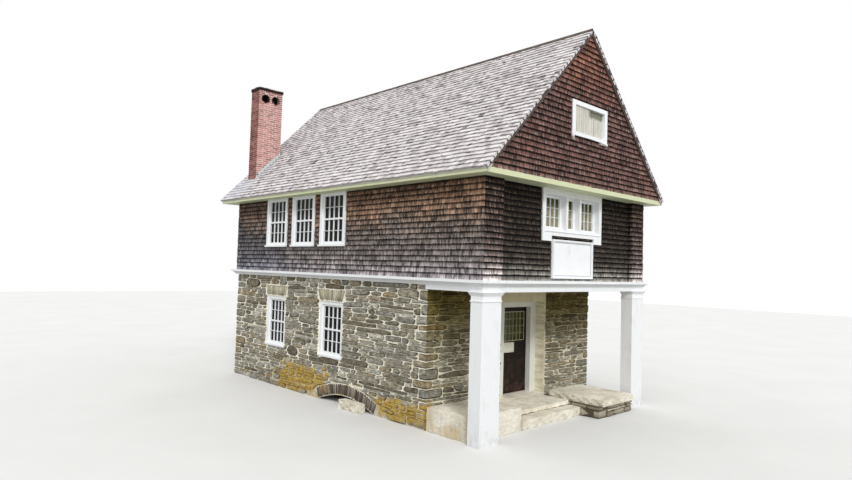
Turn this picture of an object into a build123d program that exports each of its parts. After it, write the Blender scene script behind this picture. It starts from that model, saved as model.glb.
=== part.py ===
from build123d import *
import math
import os

# A mill house of two storeys, in millimetres. The ground storey is stone and stands back behind
# a porch. The shingled upper storey reaches over the porch and rests on two box columns. A
# gabled roof projects past both ends. +X is to the right of someone who faces the porch, +Y is
# back along the house and +Z is up. The origin is on the ground, under the middle of the roof.

# Main sizes, over the board sheathing under the shingles
house_width = 6650
house_length = 10590
ledge_top = 3350
upper_wall_height = 2130
wall_thickness = 200
shingle_depth = 20

# Roof
eave_rise = 131
roof_pitch = 45.3
roof_thickness = 110
deck_thickness = 45
eave_overhang = 385
fascia_set_back = 15
fascia_thickness = 20
soffit_board = 12
front_overhang = 370
back_overhang = 526
rake_reveal = 50
cornice_height = 110
cornice_proud = 20
ridge_board_width = 150
ridge_board_thickness = 22

# Stonework
stone_inset = 75
stone_inset_back = 10
stone_thickness = 500
porch_depth = 1645
front_stone_thickness = 533
arch_distance = 4600
arch_width = 2340
arch_rise = 250

# Floors
ground_floor_top = 325
ground_floor_thickness = 60

# Ledge at the upper floor, porch beams and columns
ledge_height = 150
ledge_projection = 140
nosing_height = 60
cove_start = 25
beam_height = 100
column_width = 600
column_depth = 315
capital_height = 197
astragal_height = 27
astragal_projection = 15
neck_height = 85
capital_flare = 50

# Upper front wall between its corner piers
pier_width = 575
front_recess = 137

# Upper side windows
upper_window_width = 1146
upper_window_height = 1416
window_distance = 5268
window_pitch = 1423
window_count = 3
back_window_spacing = 2800

# Lower side windows
lower_window_width = 1080
lower_window_height = 1470
lower_window_bottom = 1135
lower_window_set_back = 25
lower_window_distance = 5348
lower_window_pitch = 2810

# Window members
casing_width = 105
casing_head = 90
upper_casing_head = 30
casing_foot = 70
casing_proud = 42
sash_stile = 48
sash_rail = 60
meeting_rail = 46
sash_thickness = 45
sash_set_back = 35
glass_thickness = 6
glass_lap = 12
jamb_lap = 55
sill_height = 45
sill_projection = 45
sill_ear = 12
lower_frame_depth = 190

# Triple window in the upper front wall
triple_offset = 55
triple_middle_light = 482
triple_side_light = 815
triple_mullion = 84
triple_casing = 120
triple_set_back = 90
triple_head = 130
triple_light_height = 790
triple_apron_height = 163
triple_ear_height = 127
triple_ear_width = 360
triple_glass_depth = 285
triple_sash = 58

# Sign board under the triple window
sign_side_gap = 40
sign_bottom_gap = 53
sign_top_gap = 79
sign_set_back = 98

# Attic windows with sliding shutters
attic_window_width = 1510
attic_window_height = 820
attic_window_rise = 1125
attic_frame_side = 120
attic_frame_head = 100
attic_frame_foot = 85
attic_frame_proud = 38
shutter_thickness = 28
shutter_gap = 6
sill_scrap_length = 330
sill_scrap_height = 62
sill_scrap_depth = 55

# Doorway and door
doorway_left = -394
doorway_right = 1190
doorway_shoulder = 316
door_frame_front = 1982
door_frame_head = 160
stop_lap = 10
head_lap = 15
leaf_width = 1140
leaf_height = 2280
leaf_floor_gap = 10
leaf_thickness = 45
leaf_gap = 5
latch_gap = 8
head_gap = 8
door_stile = 117
door_top_rail = 153
door_light_height = 756
door_glass_thickness = 6
door_glass_rim = 10
hinge_heights = (285, 1140, 1995)
hinge_offset = 12
hinge_radius = 8
hinge_pin_radius = 4
hinge_clearance = 0.3
hinge_plate_width = 60
hinge_plate_height = 96
hinge_plate_thickness = 4
hinge_plate_gap = 1
hinge_web_inset = 4
hinge_knuckle_gap = 1
knob_height = 995
knob_backset = 60
knob_radius = 27
knob_stem_radius = 11
knob_reach = 58

# Chimney
chimney_inset = 308
chimney_width = 844
chimney_front_set_back = 429
chimney_depth = 512
chimney_height = 3681
chimney_cap_height = 105
chimney_cap_overhang = 45
flue_side = 84
flue_width = 305
flue_depth = 300
flue_mouth_drop = 357
flue_mouth_height = 240
flashing_thickness = 4
flashing_height = 140

# Slabs at the porch
landing_gap = 30
landing_front = 680
slab_thickness = 110
left_slab_top = 517
left_slab_front = 325
left_slab_right = -1480
front_step_top = 219
front_step_front = 330
side_slab_width = 1500
side_slab_gap = 110
side_slab_column_gap = 235
side_slab_top = 443
side_slab_thickness = 165
side_slab_front = -235
side_slab_back = 1410
slab_bed_set_back = 70
race_stone_length = 850
race_stone_width = 250
race_stone_height = 219
race_stone_distance = 3710

# How far a cutting tool reaches past the faces that it cuts
cut = 1

# Places that follow from the sizes
half_width = house_width / 2
front_y = (front_overhang - back_overhang - house_length) / 2
back_y = front_y + house_length
soffit_z = ledge_top + upper_wall_height
cornice_top = soffit_z + cornice_height
stone_top = ledge_top - ledge_height
beam_bottom = stone_top - beam_height
slope = math.tan(math.radians(roof_pitch))
fall = math.cos(math.radians(roof_pitch))
roof_drop = roof_thickness / fall
deck_drop = deck_thickness / fall
eave_x = half_width + eave_overhang
ridge_height = soffit_z + eave_rise + slope * eave_x
fascia_x = eave_x - fascia_set_back
rafter_x = fascia_x - fascia_thickness
roof_front = front_y - front_overhang
roof_back = back_y + back_overhang
stone_x = half_width - stone_inset
stone_inner_x = stone_x - stone_thickness
stone_front = front_y + porch_depth
stone_room_front = stone_front + front_stone_thickness
stone_back = back_y - stone_inset_back
stone_room_back = stone_back - stone_thickness
facing_x = half_width + shingle_depth
side_slab_right = facing_x - column_width - side_slab_column_gap
side_slab_left = side_slab_right - side_slab_width
landing_left = left_slab_right + landing_gap
landing_right = side_slab_left - side_slab_gap
facing_y = front_y - shingle_depth
upper_wall_front = front_y + front_recess
upper_room_front = upper_wall_front + wall_thickness
upper_room_back = back_y - wall_thickness
gable_front_face = roof_front + rake_reveal
gable_back_face = roof_back - rake_reveal
triple_light_top = soffit_z - triple_head
triple_light_bottom = triple_light_top - triple_light_height
triple_apron_bottom = triple_light_bottom - triple_apron_height
attic_window_bottom = cornice_top + attic_window_rise
leaf_bottom = ground_floor_top + leaf_floor_gap
leaf_top = leaf_bottom + leaf_height
door_clear_top = leaf_top - head_lap
door_frame_top = door_clear_top + door_frame_head
door_light_top = leaf_top - door_top_rail
door_light_width = leaf_width - 2 * door_stile
chimney_left = chimney_inset - half_width
chimney_front = back_y - chimney_front_set_back
chimney_top = cornice_top + chimney_height
flue_mouth_bottom = chimney_top - flue_mouth_drop


def block(x0, x1, y0, y1, z0, z1):
    """A box between two corners."""
    middle = ((x0 + x1) / 2, (y0 + y1) / 2, (z0 + z1) / 2)
    return Pos(*middle) * Box(x1 - x0, y1 - y0, z1 - z0)


def prism_y(points, y0, y1):
    """An outline of x and z points, extruded from y0 to y1."""
    outline = Polyline(*[(x, y0, z) for x, z in points], close=True)
    return extrude(make_face(outline), amount=y1 - y0, dir=(0, 1, 0))


def prism_z(points, z0, z1):
    """An outline of x and y points, extruded from z0 to z1."""
    outline = Polyline(*[(x, y, z0) for x, y in points], close=True)
    return extrude(make_face(outline), amount=z1 - z0, dir=(0, 0, 1))


def mirrored(shape):
    """The same piece on the other side of the house."""
    return mirror(shape, about=Plane.YZ)


def save(name, *solids):
    """Write one sub-part, which may be several like solids that stand apart."""
    shape = solids[0] if len(solids) == 1 else Compound(children=list(solids))
    export_step(shape, os.path.join("parts", name + ".step"))


def roof_top(x):
    """Height of the roof deck's upper face at x."""
    return ridge_height - slope * abs(x)


def roof_under(x):
    """Height of the rafters' lower face at x."""
    return roof_top(x) - roof_drop


def under_roof_x(z):
    """Half the width between the rafters' lower faces at height z."""
    return (ridge_height - roof_drop - z) / slope


def band(reach, start, end):
    """Right half of a layer of the roof, from start to end below its top, measured plumb."""
    outline = [
        (0, roof_top(0) - start),
        (reach, roof_top(reach) - start),
        (reach, roof_top(reach) - end),
        (0, roof_top(0) - end),
    ]
    return prism_y(outline, roof_front, roof_back)


def roof_side():
    """Right roof slope: boards out to the eave on rafters that end behind the fascia."""
    slope_body = band(eave_x, 0, deck_drop) + band(rafter_x, deck_drop, roof_drop)
    under = block(0, eave_x, roof_front, roof_back, 0, soffit_z + soffit_board)
    return slope_body - under


def ridge_cap():
    """Two thin boards that meet over the ridge, as one bent piece."""
    reach = ridge_board_width * fall
    rise = ridge_board_thickness / fall
    under = [(-reach, roof_top(reach)), (0, roof_top(0)), (reach, roof_top(reach))]
    over = [(x, z + rise) for x, z in reversed(under)]
    return prism_y(under + over, roof_front, roof_back)


def eave_box():
    """Boxed eave along the right wall, from the wall out to its fascia."""
    high = roof_top(half_width)
    box = block(half_width, fascia_x, front_y, back_y, soffit_z, high)
    return box - band(fascia_x, 0, deck_drop) - above_roof() - roof_side()


def above_roof():
    """The space over the right roof slope."""
    peak = roof_top(0)
    outline = [(0, peak), (eave_x, roof_top(eave_x)), (eave_x, peak)]
    return prism_y(outline, roof_front, roof_back)


def end_cornice(y0, y1):
    """Boxed soffit under a gable, as wide as the eaves and cut to the roof above it."""
    half = block(0, fascia_x, y0, y1, soffit_z, cornice_top)
    half = half - band(fascia_x, 0, deck_drop) - above_roof() - roof_side()
    return half + mirrored(half)


def front_cornice():
    """The front soffit, which also closes the top of the recess over the front wall."""
    inner_x = half_width - pier_width
    infill = block(-inner_x, inner_x, front_y, upper_wall_front, soffit_z, cornice_top)
    return end_cornice(gable_front_face - cornice_proud, front_y) + infill


def gable(y0, y1):
    """Triangular wall between the cornice and the roof, with its window opening."""
    base = under_roof_x(cornice_top)
    wall = prism_y([(-base, cornice_top), (base, cornice_top), (0, roof_under(0))], y0, y1)
    return wall - attic_opening(y0, y1)


def attic_opening(y0, y1):
    """The cut through a gable wall inside the attic window's frame."""
    half = attic_window_width / 2 - attic_frame_side / 2
    low = attic_window_bottom + attic_frame_foot / 2
    high = attic_window_bottom + attic_window_height - attic_frame_head / 2
    return block(-half, half, y0 - cut, y1 + cut, low, high)


def upper_side_wall():
    """Right upper wall from the front pier to the back wall, cut to the roof's slope."""
    inner = half_width - wall_thickness
    outline = [
        (half_width, ledge_top),
        (half_width, roof_under(half_width)),
        (inner, roof_under(inner)),
        (inner, ledge_top),
    ]
    wall = prism_y(outline, upper_room_front, upper_room_back)
    half = upper_window_width / 2 - jamb_lap
    low = soffit_z - upper_window_height + jamb_lap
    for y in window_places():
        wall -= block(
            inner - cut, half_width + cut, y - half, y + half, low, soffit_z - jamb_lap
        )
    return wall


def window_places():
    """Distances along the house of the upper side windows."""
    return [front_y + window_distance + i * window_pitch for i in range(window_count)]


def lower_window_places():
    """Distances along the house of the lower side windows."""
    return [front_y + lower_window_distance + i * lower_window_pitch for i in range(2)]


def back_window_places():
    """Two windows beside the middle of the upper back wall."""
    return [-back_window_spacing / 2, back_window_spacing / 2]


def upper_back_wall():
    """Upper wall at the back, under the attic floor's level."""
    wall = block(-half_width, half_width, upper_room_back, back_y, ledge_top, cornice_top)
    half = upper_window_width / 2 - jamb_lap
    low = soffit_z - upper_window_height + jamb_lap
    for x in back_window_places():
        wall -= block(
            x - half, x + half, upper_room_back - cut, back_y + cut, low, soffit_z - jamb_lap
        )
    return wall


def upper_front_wall():
    """Recessed wall between the corner piers, open for the triple window."""
    inner_x = half_width - pier_width
    wall = block(-inner_x, inner_x, upper_wall_front, upper_room_front, ledge_top, cornice_top)
    half = triple_width() / 2 - jamb_lap
    return wall - block(
        triple_offset - half, triple_offset + half,
        upper_wall_front - cut, upper_room_front + cut,
        triple_apron_bottom + jamb_lap, soffit_z - jamb_lap,
    )


def corner_pier():
    """Right front corner of the upper storey."""
    return block(
        half_width - pier_width, half_width, front_y, upper_room_front, ledge_top, cornice_top
    )


def triple_width():
    """Width of the whole triple window."""
    lights = triple_middle_light + 2 * triple_side_light
    return lights + 2 * triple_mullion + 2 * triple_casing


def triple_lights():
    """Left and right edges of the three lights."""
    half = triple_middle_light / 2
    side_start = half + triple_mullion
    side_end = side_start + triple_side_light
    edges = [(-side_end, -side_start), (-half, half), (side_start, side_end)]
    return [(triple_offset + a, triple_offset + b) for a, b in edges]


def triple_frame():
    """Deep boxed frame of the triple window, with an apron that steps down at both ends."""
    half = triple_width() / 2
    front = front_y + triple_set_back
    left, right = triple_offset - half, triple_offset + half
    apron = triple_apron_bottom
    ear = apron - triple_ear_height
    wall_face = upper_wall_front
    frame = block(left, right, front, wall_face, apron, soffit_z)
    frame += block(left, left + triple_ear_width, front, wall_face, ear, apron)
    frame += block(right - triple_ear_width, right, front, wall_face, ear, apron)
    frame += block(
        left + jamb_lap, right - jamb_lap, wall_face, upper_room_front,
        apron + jamb_lap, soffit_z - jamb_lap,
    )
    bottom, top = triple_light_bottom, triple_light_top
    glass_front = front_y + triple_glass_depth
    for x0, x1 in triple_lights():
        frame -= block(x0, x1, front - cut, glass_front - sash_thickness, bottom, top)
        frame -= block(
            x0 + triple_sash, x1 - triple_sash, front - cut, glass_front,
            bottom + triple_sash, top - triple_sash,
        )
        frame -= block(
            x0 + triple_sash - glass_lap, x1 - triple_sash + glass_lap,
            glass_front, upper_room_front + cut,
            bottom + triple_sash - glass_lap, top - triple_sash + glass_lap,
        )
    return frame


def triple_glass():
    """One sheet of glass behind each light."""
    bottom = triple_light_bottom + triple_sash - glass_lap
    top = triple_light_top - triple_sash + glass_lap
    y0 = front_y + triple_glass_depth
    margin = triple_sash - glass_lap
    return [
        block(x0 + margin, x1 - margin, y0, y0 + glass_thickness, bottom, top)
        for x0, x1 in triple_lights()
    ]


def window_frame(width, height, head, front, back, lap, depth):
    """Casing, double sash and jambs, as seen from -Y with the sheathing at y = 0.

    The casing reaches from front to back, and the jambs behind it are narrower by lap.
    """
    half = width / 2
    frame = block(-half, half, front, back, 0, height)
    if lap:
        frame += block(-half + lap, half - lap, back, depth, lap, height - lap)
    sash_front = front + sash_set_back
    sash_back = sash_front + sash_thickness
    inner = half - casing_width
    low, high = casing_foot, height - head
    frame -= block(-inner, inner, front - cut, sash_front, low, high)
    glass_half = inner - sash_stile
    for z0, z1 in window_panes(low, high):
        frame -= block(-glass_half, glass_half, front - cut, sash_back, z0, z1)
    frame -= block(
        -glass_half - glass_lap, glass_half + glass_lap, sash_back, depth + cut,
        low + sash_rail - glass_lap, high - sash_stile + glass_lap,
    )
    ear = sill_ear if lap else 0
    sill = block(-half - ear, half + ear, front - sill_projection, front, 0, sill_height)
    return frame + sill


def window_panes(low, high):
    """Heights of the lower and the upper glazed opening of a double sash."""
    middle = (low + high) / 2
    return [
        (low + sash_rail, middle - meeting_rail / 2),
        (middle + meeting_rail / 2, high - sash_stile),
    ]


def window_glass(width, height, head, front):
    """One sheet behind both sashes."""
    half = width / 2 - casing_width - sash_stile + glass_lap
    y0 = front + sash_set_back + sash_thickness
    low = casing_foot + sash_rail - glass_lap
    high = height - head - sash_stile + glass_lap
    return block(-half, half, y0, y0 + glass_thickness, low, high)


def upper_window():
    """Frame and glass of an upper window."""
    front = -casing_proud
    size = (upper_window_width, upper_window_height, upper_casing_head)
    frame = window_frame(*size, front, 0, jamb_lap, wall_thickness)
    return frame, window_glass(*size, front)


def lower_window():
    """Frame and glass of a lower window, which fills its opening in the stone."""
    front = lower_window_set_back
    size = (lower_window_width, lower_window_height, casing_head)
    frame = window_frame(*size, front, lower_frame_depth, 0, lower_frame_depth)
    return frame, window_glass(*size, front)


def side_windows(piece):
    """Upper and lower windows of both long sides; piece 0 is the frames and 1 the glass."""
    upper, lower = upper_window()[piece], lower_window()[piece]
    low = soffit_z - upper_window_height
    solids = []
    for side in (-1, 1):
        turn = Rot(0, 0, side * 90)
        solids += [Pos(side * half_width, y, low) * turn * upper for y in window_places()]
        solids += [
            Pos(side * stone_x, y, lower_window_bottom) * turn * lower
            for y in lower_window_places()
        ]
    return solids


def back_windows(piece):
    """Upper windows of the back wall."""
    low = soffit_z - upper_window_height
    shape = upper_window()[piece]
    return [Pos(x, back_y, low) * Rot(0, 0, 180) * shape for x in back_window_places()]


def stone_side_wall():
    """Right stone wall between the front and the back ones, with its two window openings."""
    wall = block(stone_inner_x, stone_x, stone_room_front, stone_room_back, 0, stone_top)
    half = lower_window_width / 2
    top = lower_window_bottom + lower_window_height
    for y in lower_window_places():
        wall -= block(
            stone_inner_x - cut, stone_x + cut, y - half, y + half, lower_window_bottom, top
        )
    return wall


def arch_opening():
    """Low segmental arch through the left stone wall, down to the ground."""
    radius = ((arch_width / 2) ** 2 + arch_rise**2) / (2 * arch_rise)
    middle = front_y + arch_distance
    turned = Rot(0, 90, 0) * Cylinder(radius, stone_thickness + 2 * cut)
    centre_x = -(stone_x + stone_inner_x) / 2
    drum = Pos(centre_x, middle, arch_rise - radius) * turned
    return drum & block(
        -stone_x - cut, -stone_inner_x + cut, middle - arch_width / 2, middle + arch_width / 2,
        -cut, arch_rise,
    )


def ledge_run(run):
    """Moulded ledge along a wall as long as run, with mitred ends; its wall face is at y = 0."""
    nosing_bottom = ledge_top - nosing_height
    lip = -ledge_projection + cove_start
    foot = -shingle_depth
    bend = ((lip + 2 * foot) / 3, (nosing_bottom + stone_top) / 2)
    start = -run / 2 - ledge_projection

    def point(y, z):
        return (start, y, z)

    boards = Polyline(
        point(foot, stone_top), point(wall_thickness, stone_top),
        point(wall_thickness, ledge_top), point(-ledge_projection, ledge_top),
        point(-ledge_projection, nosing_bottom), point(lip, nosing_bottom),
    )
    cove = ThreePointArc(point(lip, nosing_bottom), point(*bend), point(foot, stone_top))
    section = make_face(boards + cove)
    solid = extrude(section, amount=-2 * start, dir=(1, 0, 0))
    inner = run / 2 - wall_thickness
    plan = [
        (start, -ledge_projection), (-start, -ledge_projection),
        (inner, wall_thickness), (-inner, wall_thickness),
    ]
    return solid & prism_z(plan, stone_top, ledge_top)


def ledge_sides():
    """Ledges along both long walls."""
    middle = (front_y + back_y) / 2
    shape = ledge_run(house_length)
    return [
        Pos(side * half_width, middle, 0) * Rot(0, 0, side * 90) * shape for side in (-1, 1)
    ]


def ledge_ends():
    """Ledges along the front and the back."""
    shape = ledge_run(house_width)
    return [Pos(0, front_y, 0) * shape, Pos(0, back_y, 0) * Rot(0, 0, 180) * shape]


def capital():
    """Right capital: a ring, a plain neck and a flared top under the beam."""
    x0, x1 = facing_x - column_width, facing_x
    y0, y1 = facing_y, facing_y + column_depth
    ring = beam_bottom - capital_height
    neck = ring + astragal_height
    flare = neck + neck_height
    out = astragal_projection
    solid = block(x0 - out, x1 + out, y0 - out, y1 + out, ring, neck)
    solid += block(x0, x1, y0, y1, neck, flare)
    middle = ((x0 + x1) / 2, (y0 + y1) / 2)
    lower = Pos(*middle, flare) * Rectangle(column_width, column_depth)
    wide = (column_width + 2 * capital_flare, column_depth + 2 * capital_flare)
    upper = Pos(*middle, beam_bottom) * Rectangle(*wide)
    return solid + loft([lower, upper])


def column():
    """Right column, down to the lowest ground."""
    top = beam_bottom - capital_height
    return block(facing_x - column_width, facing_x, facing_y, facing_y + column_depth, 0, top)


def sign_board():
    """Board with a raised border, on the recessed wall."""
    half = triple_width() / 2 - triple_ear_width - sign_side_gap
    return block(
        triple_offset - half, triple_offset + half, front_y + sign_set_back, upper_wall_front,
        ledge_top + sign_bottom_gap, triple_apron_bottom - sign_top_gap,
    )


def attic_frame():
    """Frame of an attic window, seen from -Y with the gable's face at y = 0."""
    half = attic_window_width / 2
    low, high = attic_window_bottom, attic_window_bottom + attic_window_height
    frame = block(-half, half, -attic_frame_proud, 0, low, high)
    back = 2 * (shutter_thickness + shutter_gap) + shutter_gap
    frame += block(
        -half + attic_frame_side / 2, half - attic_frame_side / 2, 0, back,
        low + attic_frame_foot / 2, high - attic_frame_head / 2,
    )
    return frame - block(
        -half + attic_frame_side, half - attic_frame_side, -attic_frame_proud - cut, back + cut,
        low + attic_frame_foot, high - attic_frame_head,
    )


def attic_shutters():
    """Two boarded shutters that slide past each other, the left one in front."""
    half = attic_window_width / 2 - attic_frame_side
    low = attic_window_bottom + attic_frame_foot
    high = attic_window_bottom + attic_window_height - attic_frame_head
    behind = shutter_thickness + shutter_gap
    left = block(-half, sash_stile, 0, shutter_thickness, low, high)
    right = block(-sash_stile, half, behind, behind + shutter_thickness, low, high)
    return [left, right]


def both_gables(shapes):
    """Copies of attic window pieces on the front and the back gable."""
    front = [Pos(0, gable_front_face, 0) * shape for shape in shapes]
    back = [Pos(0, gable_back_face, 0) * Rot(0, 0, 180) * shape for shape in shapes]
    return front + back


def sill_scraps():
    """What is left of the broken sill under the front attic window."""
    half = attic_window_width / 2
    y0 = gable_front_face - sill_scrap_depth
    top = attic_window_bottom
    piece = block(half - sill_scrap_length, half, y0, gable_front_face, top - sill_scrap_height, top)
    bracket = block(
        -half, -half + sill_scrap_height, y0, gable_front_face, top - 2 * sill_scrap_height, top
    )
    return piece + bracket


def chimney_mouths():
    """Centre lines of the two flues."""
    left = chimney_left + flue_side + flue_width / 2
    right = chimney_left + chimney_width - flue_side - flue_width / 2
    return [left, right]


def chimney_stack():
    """Brick stack with two flues that open through arched mouths under the cap."""
    y0 = chimney_front
    y1 = y0 + chimney_depth
    stack = block(chimney_left, chimney_left + chimney_width, y0, y1, cornice_top, chimney_top)
    spring = flue_mouth_bottom + flue_mouth_height - flue_width / 2
    middle_y = (y0 + y1) / 2
    for x in chimney_mouths():
        half = flue_width / 2
        stack -= block(x - half, x + half, y0 - cut, y1 + cut, flue_mouth_bottom, spring)
        turned = Rot(90, 0, 0) * Cylinder(half, chimney_depth + 2 * cut)
        stack -= Pos(x, middle_y, spring) * turned
        stack -= block(
            x - half, x + half, middle_y - flue_depth / 2, middle_y + flue_depth / 2,
            cornice_top - cut, flue_mouth_bottom + cut,
        )
    return stack


def chimney_cap():
    """Thin slab over the stack."""
    out = chimney_cap_overhang
    return block(
        chimney_left - out, chimney_left + chimney_width + out,
        chimney_front - out, chimney_front + chimney_depth + out,
        chimney_top, chimney_top + chimney_cap_height,
    )


def chimney_flashing():
    """Sheet metal apron against the foot of the stack's front, standing on the roof."""
    x0, x1 = chimney_left, chimney_left + chimney_width
    outline = [
        (x0, roof_top(x0)), (x1, roof_top(x1)),
        (x1, roof_top(x1) + flashing_height), (x0, roof_top(x0) + flashing_height),
    ]
    return prism_y(outline, chimney_front - flashing_thickness, chimney_front)


def chimney_well():
    """The stack's passage through the left roof slope."""
    return block(
        chimney_left, chimney_left + chimney_width,
        chimney_front, chimney_front + chimney_depth, cornice_top, chimney_top,
    )


def leaf_right():
    """Edge of the door leaf on its hinge side."""
    middle = (doorway_left + doorway_right) / 2
    rebate = leaf_width + leaf_gap + latch_gap
    return middle + rebate / 2 - leaf_gap


def leaf_front():
    """Outer face of the door leaf."""
    return stone_room_front - leaf_thickness


def door_frame():
    """Door frame of casings and jambs, rebated on the room side for the leaf."""
    y0 = front_y + door_frame_front
    middle = (doorway_left + doorway_right) / 2
    frame = block(
        doorway_left, doorway_right, y0, stone_room_front, ground_floor_top, door_frame_top
    )
    half = leaf_width / 2 - stop_lap
    stop = leaf_front() - leaf_gap
    low = ground_floor_top - cut
    frame -= block(middle - half, middle + half, y0 - cut, stop, low, door_clear_top)
    return frame - block(
        leaf_right() - leaf_width - latch_gap, leaf_right() + leaf_gap,
        stop, stone_room_front + cut, low, leaf_top + head_gap,
    )


def door_leaf():
    """Door leaf with one glazed opening at the top, rebated for its glass."""
    x1, x0 = leaf_right(), leaf_right() - leaf_width
    y0, y1 = leaf_front(), stone_room_front
    middle, half = (x0 + x1) / 2, door_light_width / 2
    low, high = door_light_top - door_light_height, door_light_top
    leaf = block(x0, x1, y0, y1, leaf_bottom, leaf_top)
    leaf -= block(middle - half, middle + half, y0 - cut, y1 + cut, low, high)
    return leaf - block(
        middle - half - door_glass_rim, middle + half + door_glass_rim,
        y1 - leaf_thickness / 2, y1 + cut, low - door_glass_rim, high + door_glass_rim,
    )


def door_glass():
    """Sheet of glass in the leaf's rebate."""
    middle = leaf_right() - leaf_width / 2
    half = door_light_width / 2 + door_glass_rim
    y0 = leaf_front() + leaf_thickness / 2
    low = door_light_top - door_light_height - door_glass_rim
    return block(
        middle - half, middle + half, y0, y0 + door_glass_thickness,
        low, door_light_top + door_glass_rim,
    )


def hinge_axis():
    """Plan position of the hinge pins, in the gap beside the leaf and proud of its room face."""
    return leaf_right() + leaf_gap / 2, stone_room_front + hinge_offset


def hinge_levels():
    """Heights of the hinges' middles."""
    return [leaf_bottom + height for height in hinge_heights]


def knuckle(z, height):
    """One hinge knuckle around the pin."""
    x, y = hinge_axis()
    return Pos(x, y, z) * Cylinder(hinge_radius, height)


def hinge_web(side, z, height):
    """The strip that joins a hinge plate to its knuckle."""
    x, y = hinge_axis()
    plate_y = stone_room_front
    start = x + side * (hinge_radius - hinge_web_inset)
    near, far = sorted((start, x + side * (hinge_radius + leaf_gap)))
    return block(near, far, plate_y, y + hinge_plate_thickness / 2, z - height / 2, z + height / 2)


def hinge_plate(side, z):
    """Plate on the room face of the leaf or of the jamb."""
    x, _ = hinge_axis()
    start = x + side * (hinge_radius + hinge_plate_gap)
    near, far = sorted((start, start + side * hinge_plate_width))
    half = hinge_plate_height / 2
    return block(
        near, far, stone_room_front, stone_room_front + hinge_plate_thickness, z - half, z + half
    )


def leaf_hinges():
    """Hinge halves on the leaf: a plate and one bored knuckle each."""
    solids = []
    height = hinge_plate_height / 3 - 2 * hinge_knuckle_gap
    x, y = hinge_axis()
    for z in hinge_levels():
        solid = hinge_plate(-1, z) + hinge_web(-1, z, height) + knuckle(z, height)
        bore = Pos(x, y, z) * Cylinder(hinge_pin_radius + hinge_clearance, height + 2 * cut)
        solids.append(solid - bore)
    return solids


def jamb_hinges():
    """Hinge halves on the jamb: a plate, two knuckles and the pin between them."""
    solids = []
    height = hinge_plate_height / 3
    x, y = hinge_axis()
    for z in hinge_levels():
        solid = hinge_plate(1, z) + Pos(x, y, z) * Cylinder(hinge_pin_radius, hinge_plate_height)
        for step in (-1, 1):
            solid += hinge_web(1, z + step * height, height)
            solid += knuckle(z + step * height, height)
        solids.append(solid)
    return solids


def door_knob():
    """Round knobs on both faces of the leaf."""
    x = leaf_right() - leaf_width + knob_backset
    z = leaf_bottom + knob_height
    stem = Rot(90, 0, 0) * Cylinder(knob_stem_radius, knob_reach)
    knobs = []
    for face, side in ((leaf_front(), -1), (stone_room_front, 1)):
        ball = Pos(x, face + side * knob_reach, z) * Sphere(knob_radius)
        knobs.append(ball + Pos(x, face + side * knob_reach / 2, z) * stem)
    return knobs


def slab_bed():
    """Rough stone under the landing and the side slab, down to the lowest ground."""
    bed = block(
        landing_left, landing_right, front_y + landing_front, stone_front,
        0, ground_floor_top - slab_thickness,
    )
    return bed + block(
        landing_right, side_slab_right - slab_bed_set_back,
        front_y + side_slab_front + slab_bed_set_back,
        front_y + side_slab_back - slab_bed_set_back, 0, side_slab_top - side_slab_thickness,
    )


def write_stonework():
    """Ground storey walls, the doorway's head and the floor inside."""
    side = stone_side_wall()
    save("stone_wall_right", side)
    save("stone_wall_left", mirrored(side) - arch_opening())
    save("stone_wall_back", block(-stone_x, stone_x, stone_room_back, stone_back, 0, stone_top))
    front = (stone_front, stone_room_front, 0, stone_top)
    outer_left = doorway_left - doorway_shoulder
    frame_front = front_y + door_frame_front
    left = block(-stone_x, outer_left, *front)
    left += block(outer_left, doorway_left, frame_front, stone_room_front, 0, stone_top)
    right = block(doorway_right, stone_x, *front)
    save("stone_front_walls", left, right)
    head = block(
        doorway_left, doorway_right, stone_front + shingle_depth, stone_room_front,
        door_frame_top, stone_top,
    )
    head += block(
        outer_left, doorway_left, stone_front + shingle_depth, frame_front,
        door_frame_top, stone_top,
    )
    save("door_head", head)
    save("ground_floor", block(
        -stone_inner_x, stone_inner_x, stone_room_front, stone_room_back,
        ground_floor_top - ground_floor_thickness, ground_floor_top,
    ))


def write_upper_storey():
    """Upper walls, floors, ledges, porch beams and columns."""
    side = upper_side_wall()
    save("upper_side_walls", side, mirrored(side))
    save("upper_wall_back", upper_back_wall())
    save("upper_wall_front", upper_front_wall())
    save("front_corner_piers", corner_pier(), mirrored(corner_pier()))
    inner_x = half_width - wall_thickness
    save("upper_floor", block(
        -inner_x, inner_x, front_y + wall_thickness, upper_room_back, stone_top, ledge_top
    ))
    save("attic_floor", block(
        -inner_x, inner_x, upper_room_front, upper_room_back, soffit_z, cornice_top
    ))
    save("ledge_sides", *ledge_sides())
    save("ledge_ends", *ledge_ends())
    beam_back = facing_y + column_depth
    save("porch_beam_front", block(
        -facing_x, facing_x, facing_y, beam_back, beam_bottom, stone_top
    ))
    beam = block(facing_x - wall_thickness, facing_x, beam_back, stone_front, beam_bottom, stone_top)
    save("porch_beam_sides", beam, mirrored(beam))
    save("columns", column(), mirrored(column()))
    save("column_capitals", capital(), mirrored(capital()))


def write_roof():
    """Roof slopes, eaves, gables and the chimney."""
    save("roof_right", roof_side())
    save("roof_left", mirrored(roof_side()) - chimney_well())
    save("ridge_cap", ridge_cap())
    save("eave_boxes", eave_box(), mirrored(eave_box()))
    save("end_cornices", front_cornice(), end_cornice(back_y, gable_back_face + cornice_proud))
    save("gable_front", gable(gable_front_face, gable_front_face + wall_thickness))
    save("gable_back", gable(gable_back_face - wall_thickness, gable_back_face))
    save("chimney_stack", chimney_stack())
    save("chimney_cap", chimney_cap())
    save("chimney_flashing", chimney_flashing())


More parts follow.
